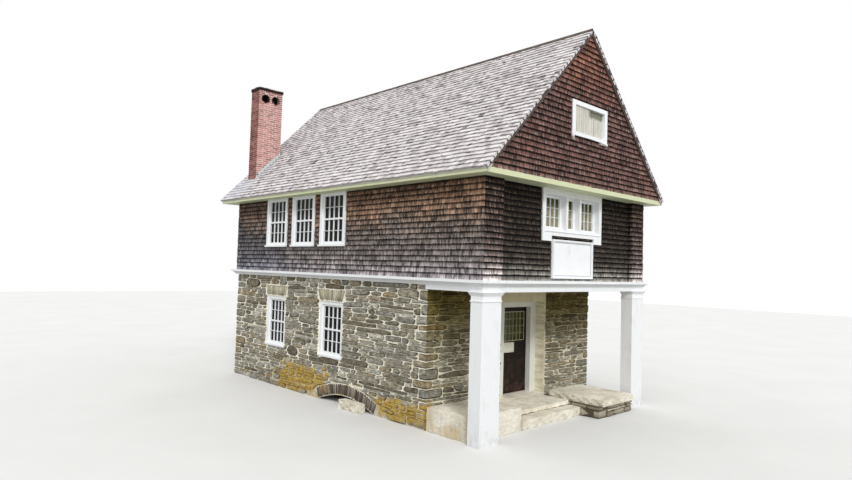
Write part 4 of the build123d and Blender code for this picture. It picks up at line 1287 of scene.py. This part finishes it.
class Finish(Nodes):
    """A material being made. Its colour is built up step by step."""

    def __init__(self, name, roughness=0.8):
        self.material = bpy.data.materials.new(name)
        self.material.use_nodes = True
        super().__init__(self.material.node_tree)
        self.shader = self.tree.nodes["Principled BSDF"]
        self.set("Roughness", roughness)
        if roughness > 0.8:
            self.set("Specular IOR Level", 0.12)
        self.place = self.node("TexCoord", "Object")
        self.x, self.y, self.z = [self.node("SeparateXYZ", k, {0: self.place}) for k in range(3)]

    def set(self, name, value):
        """Sets or feeds an input of the shader."""
        self.feed(self.shader.inputs[name], value)

    def mark(self, name, output="Fac"):
        """A value that the mesh carries."""
        return self.node("Attribute", output, attribute_name=name)

    def noise(self, scale, detail=3.0, place=None, rough=0.55):
        """Cloudy noise, about 0.5 on average. Three scales draw it out on each axis."""
        place = place or self.place
        if isinstance(scale, tuple):
            place = self.node("Mapping", 0, {"Vector": place, "Scale": scale})
            scale = 1.0
        return self.node("TexNoise", "Fac", {
            "Vector": place, "Scale": scale, "Detail": detail, "Roughness": rough,
        })

    def ramp(self, value, *stops):
        """Colours along a value; each stop is a position and a colour from 0 to 255."""
        colours = self.node("ValToRGB", "Color", {"Fac": value})
        bar = colours.socket.node.color_ramp.elements
        while len(bar) < len(stops):
            bar.new(0.5)
        for element, (position, *colour) in zip(bar, stops):
            element.position = position
            element.color = rgb(*colour)
        return colours

    def tint(self, share, colour, way="MIX"):
        """Mixes a colour into the one so far by a share."""
        colour = colour if isinstance(colour, Value) else rgb(*colour)
        self.colour = self.node(
            "Mix", 2, {"Factor": share, 6: self.colour, 7: colour}, data_type="RGBA",
            blend_type=way,
        )

    def shade(self, value):
        """Darkens or lightens the colour so far by a number round 1."""
        inputs = {0: self.colour, "Scale": value}
        self.colour = self.node("VectorMath", 0, inputs, operation="SCALE")

    def patch(self, centre, reach):
        """One at a centre, falling to nought on the ellipsoid with the given reach."""
        away = self.node("VectorMath", 0, {0: self.place, 1: centre}, operation="SUBTRACT")
        away = self.node("VectorMath", 0, {0: away, 1: reach}, operation="DIVIDE")
        length = self.node("VectorMath", "Value", {0: away}, operation="LENGTH")
        return self.number("SUBTRACT", 1.0, length)

    def relief(self, height, distance, strength=0.6):
        """Bump from a height, as deep as distance."""
        inputs = {"Strength": strength, "Distance": distance, "Height": height}
        self.set("Normal", self.node("Bump", "Normal", inputs))

    def done(self, roughness=None):
        """The material, with its colour and, where it varies, its roughness."""
        self.set("Base Color", self.colour)
        if roughness is not None:
            self.set("Roughness", roughness)
        return self.material


LICHEN_PATCHES = (
    ((-3.25, 1.25, 0.42), (0.6, 1.9, 0.66)), ((-3.25, -3.0, 0.26), (0.6, 1.4, 0.40)),
    ((-3.25, -4.4, 0.10), (0.5, 1.1, 0.26)),
)


def lichen(finish, amount=1.0):
    """Orange lichen low on the left wall, broken up by fine noise."""
    patches = finish.highest(*[finish.patch(*patch) for patch in LICHEN_PATCHES])
    share = (patches + (finish.noise(2.6, 5.0) - 0.5) * 2.2).span(0.22, 0.62)
    broken = finish.noise(15.0, 4.0).span(0.34, 0.52, 0.42, 0.92 * amount)
    finish.tint(share * broken, finish.ramp(
        finish.noise(9.0), (0.30, 150, 120, 56), (0.52, 206, 166, 60), (0.70, 196, 182, 112)
    ))


def porch_shade(finish, tint):
    """Darkens what stands behind the porch by a tint, most of all high up."""
    behind = finish.y.span(STONE_FRONT + 0.03, STONE_FRONT + 0.005)
    finish.tint(behind * finish.z.span(0.9, 2.9, 0.30, 1.0), tint, "MULTIPLY")


def make_rubble():
    """Split stone: a tone per stone, mottling, painted shade at the edges and lichen low down."""
    stone = Finish("rubble_stone", 0.88)
    stone.colour = stone.ramp(
        stone.mark("tone"), (0.0, 116, 109, 94), (0.14, 136, 129, 111), (0.30, 160, 154, 136),
        (0.46, 148, 146, 137), (0.60, 172, 167, 150), (0.76, 164, 147, 118),
        (0.80, 168, 166, 156), (1.0, 212, 208, 192),
    )
    stone.shade(stone.noise(7.0, 5.0).span(0.25, 0.75, 0.62, 1.34))
    grain = stone.noise((8.0, 8.0, 44.0), 4.0, rough=0.7)
    stone.shade(grain.span(0.36, 0.64, 0.52, 1.34))
    stone.shade(stone.y.span(0.0, STONE_BACK, 0.97, 0.90))
    stone.tint(stone.noise(3.1, 4.0).span(0.62, 0.76, 0.0, 0.4), (146, 112, 76))
    lichen(stone)
    porch_shade(stone, (160, 150, 92))
    # painted shade along each stone's rim, strongest on its under side
    stone.shade(stone.mark("rim").span(0.12, 0.85, 1.0, 0.12))
    stone.relief(stone.noise(26.0, 6.0) + grain * 0.5, 0.010, 0.9)
    return stone.done()


def make_plain_stone(name, *stops):
    """Dressed or thin stones in a narrow range of tones, with painted shade at their edges."""
    stone = Finish(name, 0.88)
    stone.colour = stone.ramp(stone.mark("tone"), *stops)
    stone.shade(stone.noise((60.0, 60.0, 12.0), 4.0).span(0.25, 0.75, 0.72, 1.28))
    # painted shade along each stone's rim
    stone.shade(stone.mark("rim").span(0.02, 0.4, 1.0, 0.55))
    lichen(stone, 0.4)
    stone.relief(stone.noise(30.0, 6.0), 0.006, 0.7)
    return stone.done()


def make_mortar():
    """Pale lime mortar, dragged and stained, darker near the ground and smooth at the doorway."""
    lime = Finish("lime_mortar", 0.92)
    lime.colour = lime.ramp(
        lime.noise(5.0, 5.0), (0.28, 192, 184, 162), (0.44, 236, 230, 210),
        (0.62, 252, 246, 229), (0.78, 224, 218, 200),
    )
    pitted = lime.noise(42.0, 5.0)
    lime.shade(pitted.span(0.30, 0.52, 0.62, 1.10))
    lime.shade(lime.z.span(0.0, 0.5, 0.68, 1.0))
    lichen(lime, 0.8)
    porch_shade(lime, (140, 130, 84))
    washed = lime.ramp(lime.noise((2.0, 2.0, 13.0)), (0.35, 198, 191, 168), (0.65, 238, 232, 209))
    middle = ((DOORWAY_LEFT + DOORWAY_RIGHT) / 2, STONE_FRONT + 0.20, 1.4)
    reveal = lime.patch(middle, (DOORWAY_RIGHT - DOORWAY_LEFT, 0.19, 4.0))
    lime.tint(reveal.span(0.0, 0.1), washed)
    lime.relief(lime.noise(48.0, 5.0) + pitted, 0.006, 0.8)
    return lime.done()


def make_slab_stone():
    """Worn flat stone: cream with grey and brown clouds, fine layers on its sides."""
    stone = Finish("slab_stone", 0.85)
    stone.colour = stone.ramp(
        stone.noise(1.6, 5.0), (0.30, 214, 205, 186), (0.45, 232, 225, 207),
        (0.58, 246, 240, 224), (0.75, 236, 232, 220),
    )
    fine, layers = stone.noise(24.0, 5.0), stone.noise((5.0, 5.0, 90.0))
    stone.shade(fine.span(0.25, 0.75, 0.88, 1.09))
    stone.shade(layers.span(0.3, 0.7, 0.86, 1.06))
    lichen(stone, 0.3)
    stone.relief(fine + layers, 0.005, 0.6)
    return stone.done()


def make_cap_stone():
    """Dark stone with soot on its sides and pale weathering on top."""
    stone = Finish("sooty_cap_stone", 0.9)
    stone.colour = stone.ramp(
        stone.noise(8.0, 5.0), (0.3, 28, 20, 20), (0.55, 48, 38, 37), (0.75, 86, 74, 68)
    )
    top = stone.z.span(STACK_HIGH.z + 0.060, STACK_HIGH.z + 0.085)
    stone.tint(top * stone.noise(12.0, 4.0).span(0.35, 0.55, 0.2, 1.0), (168, 154, 148))
    stone.relief(stone.noise(40.0, 5.0), 0.005, 0.7)
    return stone.done()


def make_brick():
    """Red brick with a tone per brick: paler and pinker on the front face, sooty near the top."""
    clay = Finish("weathered_brick", 0.9)
    clay.colour = clay.ramp(
        clay.mark("tone"), (0.0, 84, 46, 42), (0.25, 116, 66, 58), (0.5, 144, 88, 78),
        (0.75, 166, 114, 102), (1.0, 124, 92, 86),
    )
    clay.shade(clay.noise(30.0, 4.0).span(0.25, 0.75, 0.75, 1.22))
    clay.tint(clay.noise(3.5, 4.0).span(0.55, 0.75, 0.0, 0.35), (190, 158, 146))
    front = clay.y.span(STACK_LOW.y + 0.001, STACK_LOW.y + 0.006, 1.0, 0.0)
    clay.shade(front.span(0.0, 1.0, 1.0, 1.38))
    clay.tint(front * 0.24, (238, 200, 196))
    soot = clay.z.span(STACK_HIGH.z - 0.55, STACK_HIGH.z - 0.05, 0.0, 0.62)
    clay.tint(soot * clay.noise(6.0).span(0.35, 0.65, 0.3, 1.0), (64, 34, 34))
    clay.relief(clay.noise(90.0, 4.0), 0.003, 0.7)
    return clay.done()


def make_brick_mortar():
    """Pale lime mortar between the bricks, sooty inside the flues."""
    lime = Finish("brick_mortar", 0.95)
    lime.colour = lime.ramp(
        lime.noise(12.0, 4.0), (0.3, 206, 184, 176), (0.5, 244, 228, 222), (0.75, 250, 240, 234)
    )
    lime.shade(lime.y.span(STACK_LOW.y + 0.001, STACK_LOW.y + 0.006, 1.0, 0.5))
    middle, half = (STACK_LOW + STACK_HIGH) / 2, (STACK_HIGH - STACK_LOW) / 2
    inside = lime.patch((middle.x, middle.y, 0), (half.x - 0.02, half.y - 0.004, 1e6))
    lime.tint(inside.span(0.0, 0.12, 0.0, 0.97), (16, 8, 8))
    lime.relief(lime.noise(60.0, 4.0), 0.003, 0.6)
    return lime.done()


def make_wall_shingle(name, low, high, stops, skirt, pale, course, tones, streaks, far):
    """Old wood shingles whose colour changes with height.

    Height is blurred by noise and by each shingle's tone. Streaks run down the grain, each
    course has a painted highlight near its butt ends and a painted shadow just under the next
    course, the butt ends are darker, partly as painted shade under them and partly for their
    darker end grain, and the lowest courses fade to the colour skirt. pale is the strongest
    share of silver grey. course holds the strength of the painted highlight near a shingle's
    butt end and of the painted shadow under the next course. far holds two places along the
    building and the tint that the colour takes between them; on the front wall that tint is
    painted shade in the recess between the piers.
    """
    wood = Finish(name, 0.86)
    tone, rise, lie = wood.mark("tone"), wood.mark("rise"), wood.mark("lie", "Vector")
    share = wood.z.span(low, high) + (wood.noise(0.9, 4.0) - 0.5) * 0.6 + (tone - 0.5) * 0.16
    wood.colour = wood.ramp(share, *stops)
    wood.tint(wood.z.span(low + 0.08, low + 0.46, 0.75, 0.0), skirt)
    wood.shade(tone.span(0.0, 1.0, *tones))
    streak = wood.noise((21.0, 3.5, 1.0), 5.0, lie, 0.7)
    wood.shade(streak.span(0.32, 0.68, *streaks))
    wood.shade(wood.noise(2.2, 6.0, lie, 0.7).span(0.36, 0.64, 0.66, 1.34))
    grey = wood.noise((22.0, 7.0, 1.0), 3.0, lie).span(0.50, 0.66, 0.0, pale)
    silver = wood.ramp(share, (0.55, 176, 166, 162), (0.80, 196, 172, 146))
    wood.tint(grey * rise.span(0.35, 0.75, 1.0, 0.2), silver)
    # painted highlight near each butt end and painted shadow just under the next course
    wood.shade(rise.span(0.05, 0.50, course[0], 1.0))
    wood.shade(rise.span(0.50, 0.82, 1.0, course[1]))
    # darker butt ends: partly painted shade under them, partly darker end grain
    wood.shade(wood.mark("butt").span(0.4, 0.6, 1.0, 0.3))
    # tint between two places along the building; on the front wall it is painted shade in the recess
    wood.tint(wood.y.span(*far[:2]), far[2], "MULTIPLY")
    wood.relief(streak, 0.004, 0.7)
    return wood.done()


def make_roof_shingle():
    """Silver-grey roof shingles with a tone each, and painted shadow along the courses and at the
    butts.
    """
    wood = Finish("roof_shingle", 0.84)
    tone, rise, lie = wood.mark("tone"), wood.mark("rise"), wood.mark("lie", "Vector")
    # the dark stop at nought colours the rake layers of nought tone: a painted shadow line
    wood.colour = wood.ramp(
        tone, (0.0, 92, 82, 80), (0.003, 190, 182, 183), (0.35, 222, 216, 217),
        (0.7, 231, 226, 226), (1.0, 240, 236, 235),
    )
    streak = wood.noise((60.0, 4.0, 1.0), 4.0, lie)
    wood.shade(streak.span(0.30, 0.70, 0.80, 1.10))
    wood.shade(wood.noise(1.3, 4.0).span(0.3, 0.7, 0.90, 1.05))
    # painted shadow just under each course, strongest in dashes
    dash = wood.noise((4.5, 30.0, 1.0), 2.0, lie).span(0.55, 0.66, 0.62, 1.0)
    wood.tint(rise.span(0.56, 0.88) * dash, (60, 51, 52))
    # painted shadow in patches, where gaps between shingles would be
    hole = wood.noise((4.0, 9.0, 1.0), 1.0, lie).span(0.615, 0.655) * rise.span(0.35, 0.6)
    wood.tint(hole * 0.85, (72, 62, 62))
    # painted shade on the butt ends, most on those of low tone, little at the eave
    butt = wood.mark("butt") * tone.span(0.1, 0.7, 0.6, 0.1)
    wood.tint(butt * wood.z.span(EAVE_TOP + 0.02, EAVE_TOP + 0.08, 0.1, 1.0), (76, 66, 66))
    beside = wood.y.span(STACK_LOW.y - 0.34, STACK_LOW.y - 0.16)
    below = wood.x.span(STACK_HIGH.x + 0.3, STACK_HIGH.x, 0.0, 0.5)
    wood.tint(beside * below, (206, 208, 216))
    wood.relief(streak, 0.004, 0.7)
    return wood.done()


def make_deck_wood():
    """Bare boards at the edges of the roof, grey-brown with long grain."""
    wood = Finish("roof_deck_wood", 0.85)
    grain = wood.noise((30.0, 4.0, 30.0), 5.0)
    wood.colour = wood.ramp(grain, (0.3, 58, 50, 46), (0.5, 88, 78, 72), (0.7, 128, 118, 108))
    wood.tint(wood.z.span(EAVE_TOP + 0.01, EAVE_TOP + 0.05, 0.9, 0.0), (206, 204, 196))
    wood.relief(grain, 0.004, 0.6)
    return wood.done()


def make_wall_boards():
    """Dark sheathing boards behind the shingles."""
    wood = Finish("wall_boards", 0.9)
    grain = wood.noise((6.0, 6.0, 60.0), 4.0)
    wood.colour = wood.ramp(grain, (0.3, 34, 26, 22), (0.7, 58, 46, 40))
    wood.relief(grain, 0.003, 0.5)
    return wood.done()


def make_floor_boards():
    """Planks along the house with dark joints between them."""
    wood = Finish("floor_boards", 0.6)
    grain = wood.noise((50.0, 3.0, 50.0), 5.0)
    wood.colour = wood.ramp(grain, (0.3, 104, 82, 58), (0.5, 150, 122, 90), (0.7, 176, 150, 116))
    board = wood.number("FRACT", wood.x * (1 / 0.15))
    joint = wood.number("ABSOLUTE", board - 0.5).span(0.47, 0.49)
    wood.tint(joint, (36, 28, 22))
    wood.relief(grain - joint * 3.0, 0.003, 0.6)
    return wood.done()


def make_paint(name, colour, dirt, soiled=0.3, bare=None):
    """Old oil paint on wood: faint brush grain, dirt in clouds and streaks, hairline flaking.

    bare is a function that shows the wood somewhere.
    """
    paint = Finish(name, 0.5)
    paint.colour = rgb(*colour)
    cloud = paint.noise(3.2, 5.0)
    run = paint.noise((14.0, 14.0, 1.6), 4.0)
    paint.tint(cloud.span(0.42, 0.75) * run.span(0.42, 0.7) * soiled, dirt)
    foot = paint.z.span(0.0, 0.35, 0.32, 0.0)
    paint.tint(foot * paint.noise(9.0, 4.0).span(0.4, 0.65), dirt)
    chips = paint.noise(34.0, 6.0, rough=0.7).span(0.71, 0.75, 0.0, 0.3)
    paint.tint(chips, (150, 138, 120))
    if bare:
        bare(paint)
    paint.relief(paint.noise((9.0, 9.0, 120.0)) - chips * 2.0, 0.0012, 0.5)
    return paint.done(cloud.span(0.3, 0.7, 0.42, 0.65))


def bare_sill(paint):
    """Grey weathered wood where the attic window's broken sill has lost its paint."""
    here = paint.patch((0, ATTIC_LOW.y, ATTIC_BOTTOM - 0.18), (1.2, 0.3, 0.20))
    wood = paint.ramp(paint.noise(14.0, 4.0), (0.3, 92, 74, 62), (0.7, 172, 160, 146))
    paint.tint(here.span(0.0, 0.1, 0.0, 0.85), wood)


def make_shutter_paint():
    """Old cream paint on boards: worn, with green-tinted painted shadow towards the top of the front
    right shutter.
    """
    paint = Finish("cream_shutter_paint", 0.6)
    run = paint.noise((22.0, 22.0, 2.0), 4.0)
    paint.colour = paint.ramp(run, (0.3, 184, 180, 168), (0.5, 207, 204, 194), (0.7, 220, 217, 209))
    # green-tinted painted shadow of the window head, on the front right shutter only
    head_shadow = (paint.z.span(HEAD_SHADOW_LOW, SHUTTER_HIGH.z - 0.05) + run).span(0.75, 1.25)
    head_shadow = head_shadow * paint.x.span(-0.06, 0.02, 0.0, 0.8) * paint.y.span(0.0, 1.0, 1.0, 0.0)
    paint.tint(head_shadow, (88, 92, 62))
    paint.relief(run, 0.002, 0.5)
    return paint.done()


def make_door_paint():
    """Near-black brown paint over upright grain, worn paler near the foot."""
    paint = Finish("dark_door_paint", 0.42)
    paint.set("Specular IOR Level", 0.16)
    grain = paint.noise((60.0, 60.0, 4.0), 5.0)
    paint.colour = paint.ramp(grain, (0.28, 8, 4, 3), (0.5, 22, 13, 9), (0.72, 46, 30, 20))
    worn = paint.z.span(0.35, 1.45, 0.55, 0.0) * paint.noise(5.0, 4.0).span(0.4, 0.7)
    paint.tint(worn, (84, 62, 56))
    paint.relief(grain, 0.002, 0.5)
    return paint.done(grain.span(0.3, 0.7, 0.36, 0.56))


def make_glass():
    """Old window glass: dark, glossy and slightly wavy, with a dusty film on the wide front window."""
    glass = Finish("window_glass", 0.06)
    glass.set("Specular IOR Level", 0.10)
    wave = glass.noise(4.0, 2.0)
    glass.colour = glass.ramp(wave, (0.3, 2, 3, 2), (0.7, 8, 10, 8))
    wide = glass.y.span(BOARD_FRONT + 0.30, BOARD_FRONT + 0.40, 1.0, 0.0)
    glass.tint(wide, (66, 66, 32))
    film = wide * glass.z.span(LIGHT_TOP - 0.36, LIGHT_TOP - 0.14, 0.95, 0.0)
    film = film * glass.noise(3.0, 4.0).span(0.2, 0.6, 0.6, 1.0)
    glass.tint(film, glass.ramp(glass.noise(5.0, 4.0), (0.3, 120, 114, 92), (0.7, 170, 164, 140)))
    glass.relief(wave, 0.004, 0.25)
    return glass.done(film.span(0.0, 1.0, 0.05, 0.35))


def make_door_glass():
    """The door's glass: dark with an olive cast."""
    glass = Finish("door_glass", 0.06)
    glass.set("IOR", 1.33)
    wave = glass.noise(3.0, 2.0)
    glass.colour = glass.ramp(wave, (0.3, 26, 34, 18), (0.7, 74, 84, 44))
    glass.relief(wave, 0.004, 0.25)
    return glass.done()


def make_metal(name, dark, pale, roughness, metallic):
    """Dull metal with clouds of wear."""
    metal = Finish(name, roughness)
    metal.set("Metallic", metallic)
    cloud = metal.noise(22.0, 5.0)
    metal.colour = metal.ramp(cloud, (0.3, *dark), (0.7, *pale))
    metal.relief(metal.noise(60.0), 0.0015, 0.5)
    return metal.done(cloud.span(0.3, 0.7, roughness - 0.1, roughness + 0.15))


def make_paper():
    """Bare paper behind a cloudy sleeve, slightly yellowed."""
    paper = Finish("notice_paper", 0.35)
    paper.colour = paper.ramp(paper.noise(9.0, 4.0), (0.3, 206, 206, 184), (0.7, 232, 232, 216))
    paper.relief(paper.noise(14.0), 0.002, 0.4)
    return paper.done()


rubble = make_rubble()
bed_stone = make_plain_stone(
    "bed_stone", (0.0, 96, 88, 74), (0.5, 150, 142, 124), (1.0, 196, 188, 170)
)
lintel_stone = make_plain_stone(
    "lintel_stone", (0.0, 156, 150, 126), (0.5, 190, 185, 160), (1.0, 214, 209, 188)
)
arch_stone = make_plain_stone(
    "arch_stone", (0.0, 88, 78, 72), (0.5, 128, 116, 108), (1.0, 158, 146, 134)
)
mortar = make_mortar()
slab_stone = make_slab_stone()
cap_stone = make_cap_stone()
brick = make_brick()
brick_mortar = make_brick_mortar()
# the dark colour at the very top is partly the wood's own colour under the eave and partly painted
# shadow of the eave
long_wall_shingle = make_wall_shingle(
    "long_wall_shingle", LEDGE_TOP, SOFFIT, (
        (0.00, 124, 116, 116), (0.30, 106, 98, 95), (0.55, 98, 87, 80), (0.72, 108, 91, 80),
        (0.85, 132, 105, 89), (0.94, 124, 96, 79), (1.00, 90, 68, 56),
    ),
    skirt=(142, 136, 139), pale=0.60, course=(1.20, 0.24), tones=(0.60, 1.42),
    streaks=(0.20, 2.0), far=(0.4, 4.0, (216, 226, 238)),
)
# far here darkens the recessed wall between the piers: painted shade in the recess
front_wall_shingle = make_wall_shingle(
    "front_wall_shingle", LEDGE_TOP, SOFFIT, (
        (0.00, 104, 93, 90), (0.28, 78, 66, 62), (0.60, 62, 51, 47), (1.00, 52, 41, 38),
    ),
    skirt=(180, 170, 168), pale=0.22, course=(2.1, 0.04), tones=(0.78, 1.22),
    streaks=(0.36, 1.70), far=(BOARD_FRONT + 0.04, BOARD_FRONT + 0.08, (170, 176, 170)),
)
gable_shingle = make_wall_shingle(
    "gable_shingle", CORNICE_TOP, GABLE_PEAK, (
        (0.00, 98, 70, 63), (0.35, 90, 65, 61), (0.62, 94, 67, 62), (0.82, 112, 75, 65),
        (1.00, 128, 84, 70),
    ),
    skirt=(98, 74, 68), pale=0.36, course=(1.45, 0.07), tones=(0.72, 1.28),
    streaks=(0.34, 1.70), far=(0.0, 1.0, (240, 236, 236)),
)
roof_shingle = make_roof_shingle()
deck_wood = make_deck_wood()
wall_boards = make_wall_boards()
floor_wood = make_floor_boards()
white_paint = make_paint("white_paint", (245, 247, 249), (184, 178, 162), bare=bare_sill)
cream_paint = make_shutter_paint()
# grey paint for the sign's inner bead: painted shade of a moulding line
bead_paint_with_painted_shade = make_paint("bead_paint_with_painted_shade", (178, 179, 180), (150, 146, 136))
# white paint tinted cream-green: painted reflection of green light from below
eave_paint_with_painted_reflection = make_paint("eave_paint_with_painted_reflection", (214, 219, 180), (150, 158, 104))
# duller white than white_paint: painted shade of the porch
frame_paint_with_painted_shade = make_paint("door_frame_paint", (222, 224, 215), (168, 166, 140))
door_bar_paint = make_paint("door_bar_paint", (176, 170, 134), (120, 112, 80), 0.6)
# white paint tinted cream-olive: painted shade under the porch with painted green reflection
head_paint_with_painted_shade_and_reflection = make_paint("door_head_paint", (214, 206, 166), (160, 150, 104), 0.5)
door_paint = make_door_paint()
window_glass = make_glass()
door_glass = make_door_glass()
lead = make_metal("lead_sheet", (186, 192, 192), (214, 220, 220), 0.6, 0.2)
iron = make_metal("black_iron", (26, 24, 24), (52, 48, 46), 0.55, 0.6)
brass = make_metal("dull_brass", (122, 92, 44), (176, 142, 80), 0.4, 0.9)
notice_paper = make_paper()

NODE_FINISHES = (
    (mortar, ("stone_wall_back", "stone_wall_left", "stone_wall_right", "stone_front_walls")),
    (bed_stone, ("slab_bed",)),
    (wall_boards, (
        "front_corner_piers", "upper_side_walls", "upper_wall_back", "upper_wall_front",
        "gable_front", "gable_back",
    )),
    (deck_wood, ("roof_left", "roof_right", "ridge_cap")),
    (floor_wood, ("ground_floor", "upper_floor", "attic_floor")),
    (white_paint, (
        "attic_window_frames", "column_capitals", "columns", "ledge_ends", "ledge_sides",
        "porch_beam_front", "porch_beam_sides", "sash_window_frames", "sign_board",
        "triple_window_frame",
    )),
    (eave_paint_with_painted_reflection, ("eave_boxes", "end_cornices")),
    (frame_paint_with_painted_shade, ("door_frame",)),
    (head_paint_with_painted_shade_and_reflection, ("door_head",)),
    (brick_mortar, ("chimney_stack",)),
    (lead, ("chimney_flashing",)),
    (window_glass, ("window_glass",)),
    (door_glass, ("door_glass",)),
    (door_paint, ("door_leaf",)),
    (iron, ("door_jamb_hinges", "door_leaf_hinges")),
    (brass, ("door_knobs",)),
    (slab_stone, [node for node, rough in SLABS]),
    (cap_stone, ("chimney_cap",)),
    (cream_paint, ("attic_shutters",)),
)


def finish_nodes():
    """Puts each finish on the nodes that keep their own shape."""
    for material, nodes in NODE_FINISHES:
        for node in nodes:
            for material_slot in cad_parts[node].material_slots:
                material_slot.material = material


# Studio: floor, light and camera

def floor():
    """A wide pale floor at ground level, which the camera sees paler than it lights."""
    finish = Finish("studio_floor", 0.9)
    finish.colour = rgb(148, 148, 144)
    pale = finish.ramp(finish.noise(0.4, 2.0), (0.3, 226, 226, 224), (0.7, 230, 230, 228))
    finish.tint(finish.seen_by("Camera", "Glossy", "Transmission"), pale)
    mesh = bpy.data.meshes.new("studio_floor")
    corners = [(x * FLOOR_REACH, y * FLOOR_REACH, 0) for x, y in ((-1, -1), (1, -1), (1, 1), (-1, 1))]
    mesh.from_pydata(corners, [], [(0, 1, 2, 3)])
    mesh.materials.append(finish.done())
    piece = put("studio_floor", mesh)


def daylight():
    """Even pale sky and a broad soft sun from the front left."""
    world = bpy.data.worlds.new("pale_sky")
    bpy.context.scene.world = world
    world.use_nodes = True
    sky = Nodes(world.node_tree)
    back = world.node_tree.nodes["Background"]
    level = {"Value": sky.seen_by("Camera", "Glossy"), "To Min": SKY_LEVEL, "To Max": 1.0}
    sky.feed(back.inputs["Color"], (1, 1, 1, 1))
    sky.feed(back.inputs["Strength"], sky.node("MapRange", "Result", level))
    data = bpy.data.lights.new("soft_sun", "SUN")
    data.energy = SUN_LEVEL
    data.angle = math.radians(12)
    sun = put("soft_sun", data)
    sun.rotation_euler = Vector(SUN_FROM).to_track_quat("Z", "Y").to_euler()


def camera():
    """The photograph's viewpoint."""
    data = bpy.data.cameras.new("photo_camera")
    data.lens = LENS
    data.sensor_width = 36.0
    piece = put("photo_camera", data)
    turn = (
        Matrix.Rotation(-CAMERA_YAW, 4, "Z")
        @ Matrix.Rotation(math.pi / 2 + CAMERA_PITCH, 4, "X")
        @ Matrix.Rotation(CAMERA_ROLL, 4, "Z")
    )
    piece.matrix_world = Matrix.Translation(CAMERA_PLACE) @ turn
    bpy.context.scene.camera = piece


camera()
floor()
daylight()
bpy.context.scene.view_settings.view_transform = "Standard"
finish_nodes()
stone_walls()
bed_stones()
wall_shingles()
roof_shingles()
chimney_bricks()
step_flashing()
slabs()
window_bars()
triple_window_bars()
sign_border()
shutter_boards()
door_dressing()
